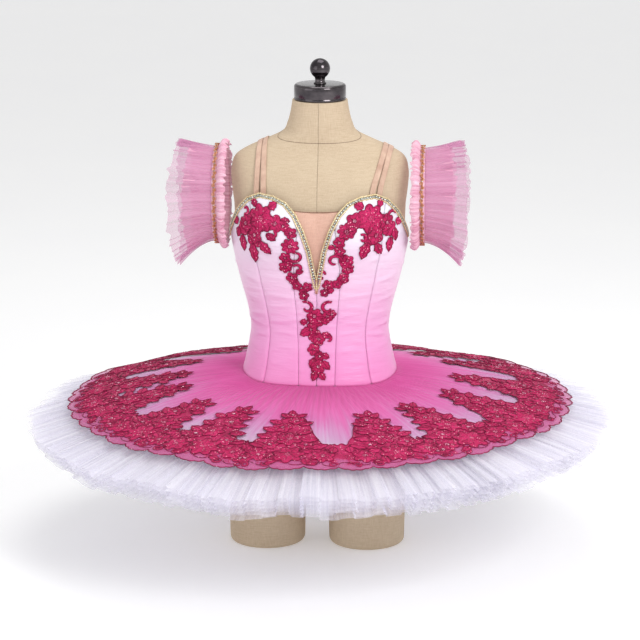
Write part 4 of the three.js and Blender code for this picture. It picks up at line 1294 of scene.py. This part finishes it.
# ---------------------------------------------------------------- lace border of the skirt
FINGERS = np.array([  # step round the skirt, its own turn in degrees, how far past 230 mm it starts
    (0, -6.5, 2), (1, -1, 7), (2, -3, -2), (3, -2, 6), (4, -1, 0), (5, 4, 9), (6, 2, 3), (7, -2, -2),
    (8, 3, 5), (9, 2, 0), (10, -3, 8), (11, 3, 1), (12, 4, -3), (13, -2.5, 6), (14, -2, 12), (15, -5.5, 1)])
BLOOMS = (  # round the rim in mm, distance from the axis, size, petals, angle
    (2, 402, 30, 7, 10), (-54, 408, 23, 6, 20), (56, 406, 21, 5, 0), (-5, 345, 23, 6, 35),
    (10, 303, 18, 5, 15), (-9, 272, 15, 5, 50), (5, 250, 11, 5, 0), (30, 368, 17, 5, 25),
    (-33, 366, 15, 5, 40), (84, 418, 14, 5, 10))
LEAVES = (  # round the rim, distance, length, half width, angle, bend
    (2, 254, 26, 7, -86, 0.05), (-6, 258, 24, 7, -122, -0.1), (10, 262, 24, 7, -50, 0.1),
    (14, 288, 26, 8.5, -38, 0.14), (-14, 290, 27, 8.5, -140, -0.14), (16, 318, 30, 9.5, -30, 0.14),
    (-18, 322, 28, 9.5, -148, -0.12), (24, 344, 30, 9.5, -24, 0.14), (-26, 348, 30, 9.5, -160, -0.1),
    (38, 376, 32, 9, -30, 0.14), (-40, 378, 32, 9, -152, -0.14), (-22, 384, 24, 8, 150, 0.1),
    (28, 392, 24, 8, 50, 0.1), (-26, 412, 26, 8, 100, -0.1), (22, 424, 24, 7, 15, 0.1),
    (-22, 428, 24, 7, 165, 0.1), (70, 392, 22, 8, -70, 0.1), (-74, 392, 22, 8, -100, 0.1),
    (80, 398, 20, 7, 30, 0.1))
SCROLLS = (  # round the rim, distance, size, angle, hand
    (-46, 428, 9, 30, 1), (46, 428, 9, 150, -1), (70, 380, 8, 110, 1), (-66, 380, 8, 70, -1),
    (86, 436, 8, 175, 1), (-84, 434, 8, 5, -1), (14, 330, 7, 200, 1))


def finger_phase(turn):
    """How far round the fingers a turn is: whole numbers are the middles of fingers."""
    middles = FINGERS[:, 0] * 22.5 + FINGERS[:, 1]
    marks = np.concatenate([[middles[-1] - 360], middles, [middles[0] + 360]])
    around = np.mod(turn - marks[0], 360) + marks[0]
    return np.interp(around, marks, np.arange(-1, len(middles) + 1))


def make_lace_motifs():
    """One spray of flowers, leaves and scrolls for each finger, mirrored by turns."""
    fills, cords, beads = Pile(), Pile(), Pile()
    for step, own, past in FINGERS:
        hand = 1 if step % 2 else -1
        rng = np.random.default_rng(int(step) + 11)

        def ground_at(across, radius):
            deep = np.clip((radius - 330) / 90, 0, 1)
            far = radius + past * (1 - deep) + rng.uniform(-2, 2)
            turn = step * 22.5 + own * (1 - 0.5 * deep) + (hand * across + rng.uniform(-2.5, 2.5)) / radius / DEGREE
            return skirt_ground(turn, far)

        for across, radius, size, petals, angle in BLOOMS:
            size = size * rng.uniform(0.93, 1.07)
            blossom(ground_at(across, radius), fills, cords, beads, (0, 0), size, petals, angle * hand + step * 13)
        for across, radius, length, width, angle, bend in LEAVES:
            way = (angle if hand > 0 else 180 - angle) + rng.uniform(-9, 9)
            leaf(ground_at(across, radius), fills, cords, (0, 0), length, width, way, bend * hand)
        for across, radius, size, angle, curl in SCROLLS:
            way = angle if hand > 0 else 180 - angle
            scroll(ground_at(across, radius), fills, cords, (0, 0), size, way, curl * hand)
    return (dress(fills.piece("lace_border_motifs"), LACE),
            dress(cords.piece("lace_border_cords"), CORD),
            dress(beads.piece("lace_border_beads"), LACE_BEAD))


def lace_rim(turn):
    """The scalloped outer edge, three large scallops to a finger, each with small lobes."""
    phase = turn * 16 / 360
    return 443 + 9.0 * np.abs(np.sin(3 * np.pi * phase)) ** 0.8 + 2.0 * np.abs(np.sin(12 * np.pi * phase))


def make_lace_border():
    """The worked ground with its lobed fingers, and the dark cord that edges it."""
    columns, rows = 1920, 9
    turn, level = np.meshgrid(np.arange(columns) / columns * 360, np.linspace(0, 1, rows), indexing="ij")
    phase = finger_phase(turn)
    step = np.round(phase)
    from_middle = np.abs(phase - step)
    fall = np.clip((from_middle - 0.13) / 0.29, 0, 1)
    reach = FINGERS[np.mod(step.astype(int), len(FINGERS)), 2]
    lobes = 5.0 * np.abs(np.sin(phase * np.pi * 11)) + 3.0 * np.sin(phase * np.pi * 23 + step)
    blunt = 16 * (from_middle / 0.13) ** 2 * (from_middle < 0.13) + 16 * (from_middle >= 0.13)
    inner = 243 + reach * (1 - fall) + blunt * (1 - fall) + 118 * (fall * fall * (3 - 2 * fall)) + lobes
    points = lace_surface(turn, inner + (lace_rim(turn) - inner) * level, 1.7)
    piece = build("lace_border_ground", points.reshape(-1, 3), quads_of(columns, rows, wrap=True, flip=True))
    dress(piece, LACE_NET, ["lace_border"])
    cords = Pile()
    upright = np.broadcast_to([0.0, 0.0, 1.0], (columns, 3))
    around = turn[:, 0]
    tube(cords, lace_surface(around, lace_rim(around), 2.6), upright, 1.25, 0.9, 4, closed=True)
    tube(cords, lace_surface(around, inner[:, 0], 2.2), upright, 0.8, 0.7, 4, closed=True)
    for lobe in range(96):
        a = np.linspace(0, np.pi, 9)
        middle = (lobe + 0.5) * 3.75
        ring_turn = middle + np.cos(a) * 1.6
        ring = 432 + (5 + 3 * (lobe % 3 == 1)) * np.sin(a) * (1 if lobe % 2 else -1)
        tube(cords, lace_surface(ring_turn, ring, 2.3), upright[:9], 0.7, 0.7, 4)
    edge = dress(cords.piece("lace_border_edge"), CORD)
    cloth(piece, trims=[edge, *make_lace_motifs()])


# ---------------------------------------------------------------- lace motifs of the bodice
# Patches: across, height, half width, half height, lobes, angle. Blooms: across, height, size,
# petals. Leaves: across, height, length, half width, angle. Scrolls: across, height, size, angle, hand.
BODICE_MOTIFS = {
    "applique_bust_left": dict(
        patches=((-98, 608, 30, 19, 9, 8), (-124, 592, 17, 14, 7, 30), (-106, 574, 17, 16, 7, 0)),
        blooms=((-94, 612, 25, 7), (-120, 600, 16, 6), (-70, 606, 15, 5), (-104, 582, 16, 5)),
        leaves=((-82, 630, 18, 7, 30), (-104, 630, 18, 6, 110), (-62, 612, 16, 6, -10),
                (-134, 604, 18, 7, -160), (-132, 590, 20, 7, -120), (-126, 578, 30, 9, -100),
                (-108, 566, 36, 10, -96), (-96, 572, 30, 9, -52), (-84, 588, 20, 7, -40)),
        scrolls=((-124, 616, 8, 60, -1), (-72, 594, 7, 250, 1))),
    "applique_bust_right": dict(
        patches=((98, 608, 30, 18, 9, -8), (122, 594, 17, 15, 7, -20), (94, 580, 17, 13, 7, 0)),
        blooms=((92, 614, 25, 7), (118, 604, 16, 6), (66, 612, 14, 5), (100, 584, 17, 5)),
        leaves=((80, 632, 18, 7, 150), (104, 632, 18, 6, 60), (132, 606, 18, 7, -20),
                (130, 592, 24, 8, -80), (124, 578, 28, 8, -95), (100, 570, 26, 8, -60),
                (88, 574, 34, 9.5, -112), (70, 598, 17, 7, 200), (110, 588, 18, 7, 10)),
        scrolls=((132, 618, 10, 200, -1), (76, 588, 8, 300, 1))),
    "applique_chain_left": dict(
        patches=((-50, 532, 9, 15, 6, 0),),
        blooms=((-57, 602, 10, 5), (-45, 590, 10.5, 5), (-46, 566, 15, 8), (-54, 544, 10, 5),
                (-54, 526, 11, 6), (-42, 506, 11, 5), (-34, 492, 9, 5), (-16, 490, 9, 5), (-22, 474, 9, 5)),
        leaves=((-48, 510, 16, 6, -30), (-36, 516, 14, 4.5, 10), (-30, 484, 14, 5, -20)),
        scrolls=((-50, 548, 13, 0, -1), (-40, 528, 8, 330, 1))),
    "applique_chain_right": dict(
        patches=((48, 540, 8, 13, 6, 0),),
        blooms=((54, 594, 15, 8), (42, 574, 10.5, 5), (42, 558, 10, 5), (54, 540, 11, 5), (54, 524, 11, 6),
                (46, 506, 10.5, 5), (36, 496, 9, 5), (20, 494, 10, 5), (14, 480, 8, 5)),
        leaves=((34, 566, 13, 4.5, 190), (52, 510, 15, 6, -120), (30, 486, 14, 5, 200)),
        scrolls=((46, 538, 13, 180, -1), (12, 506, 8, 90, 1))),
    "applique_spray_centre": dict(
        patches=((-2, 430, 17, 15, 8, 0), (-4, 400, 12, 12, 7, 0), (1, 348, 14, 17, 8, 0)),
        blooms=((-4, 436, 15, 6), (18, 436, 11, 5), (26, 440, 8, 5), (-10, 412, 11, 5), (4, 394, 11, 5),
                (-6, 376, 11, 5), (5, 364, 9, 5), (3, 346, 13, 6)),
        leaves=((-8, 412, 26, 8, 200), (-16, 424, 14, 6, 170), (8, 404, 20, 6, -20), (8, 368, 16, 6, -30),
                (-4, 360, 18, 6.5, -120), (10, 356, 20, 6.5, -55), (-2, 338, 18, 6.5, -110), (6, 336, 16, 6, -62),
                (8, 424, 18, 6, 20)),
        scrolls=((12, 396, 8, -10, 1), (-24, 462, 12, -60, 1), (26, 462, 12, 240, -1))),
}


OUTLINE_SHARE = 0.8  # the most of its rectangle that a cut-out fills, where its motifs overlap


def make_bodice_lace():
    for name, rows in BODICE_MOTIFS.items():
        fills, cords, beads = Pile(), Pile(), Pile()
        for across, height, wide, tall, lobes, angle in rows["patches"]:
            disc(bodice_ground(across, height), fills, cords, (0, 0), wide, tall, lobes, angle)
        for n, (across, height, size, petals) in enumerate(rows["blooms"]):
            blossom(bodice_ground(across, height), fills, cords, beads, (0, 0), size, petals, n * 37, 0.34)
        for across, height, length, width, angle in rows["leaves"]:
            leaf(bodice_ground(across, height), fills, cords, (0, 0), length, width, angle, 0.08)
        for across, height, size, angle, hand in rows["scrolls"]:
            scroll(bodice_ground(across, height), fills, cords, (0, 0), size, angle, hand, 0.8, 2.6)
        motifs = dress(fills.piece(name + "_motifs"), LACE, [name])
        trims = [dress(cords.piece(name + "_cords"), CORD),
                 dress(beads.piece(name + "_beads"), LACE_BEAD)]
        corners = np.array(motifs.bound_box)
        size = corners.max(0) - corners.min(0)
        wide, long = math.hypot(size[0], size[1]), float(size[2])
        area = min(cloth_area(motifs), OUTLINE_SHARE * wide * long)


def make_floor():
    """A plain floor, level out to `flat` and then curved up all round into a low pale wall."""
    columns, flat, bend, top = 96, 11000.0, 2500.0, 3400.0
    curve = np.linspace(0, 90, 16) * DEGREE
    radius = np.concatenate([[1500.0], flat + bend * np.sin(curve), [flat + bend]])
    height = np.concatenate([[0.0], bend * (1 - np.cos(curve)), [top]])
    around = np.arange(columns)[:, None] / columns * 360 * DEGREE
    ring = np.stack(np.broadcast_arrays(radius * np.cos(around), radius * np.sin(around), height), -1)
    rows = len(radius)
    k = np.arange(columns)
    middle = np.stack([np.full(columns, columns * rows), k * rows, (k + 1) % columns * rows], -1)
    sweep = build("floor", np.concatenate([ring.reshape(-1, 3), [[0.0, 0.0, 0.0]]]),
                  quads_of(columns, rows, wrap=True, flip=True), middle)
    sweep.data.materials.append(floor_paint())


set_camera()
set_lights()
make_form()
make_bodice()
make_insert()
make_neckline_braid()
make_straps()
make_arm_frills()
make_briefs()
make_skirt()
make_lace_border()
make_bodice_lace()
make_floor()
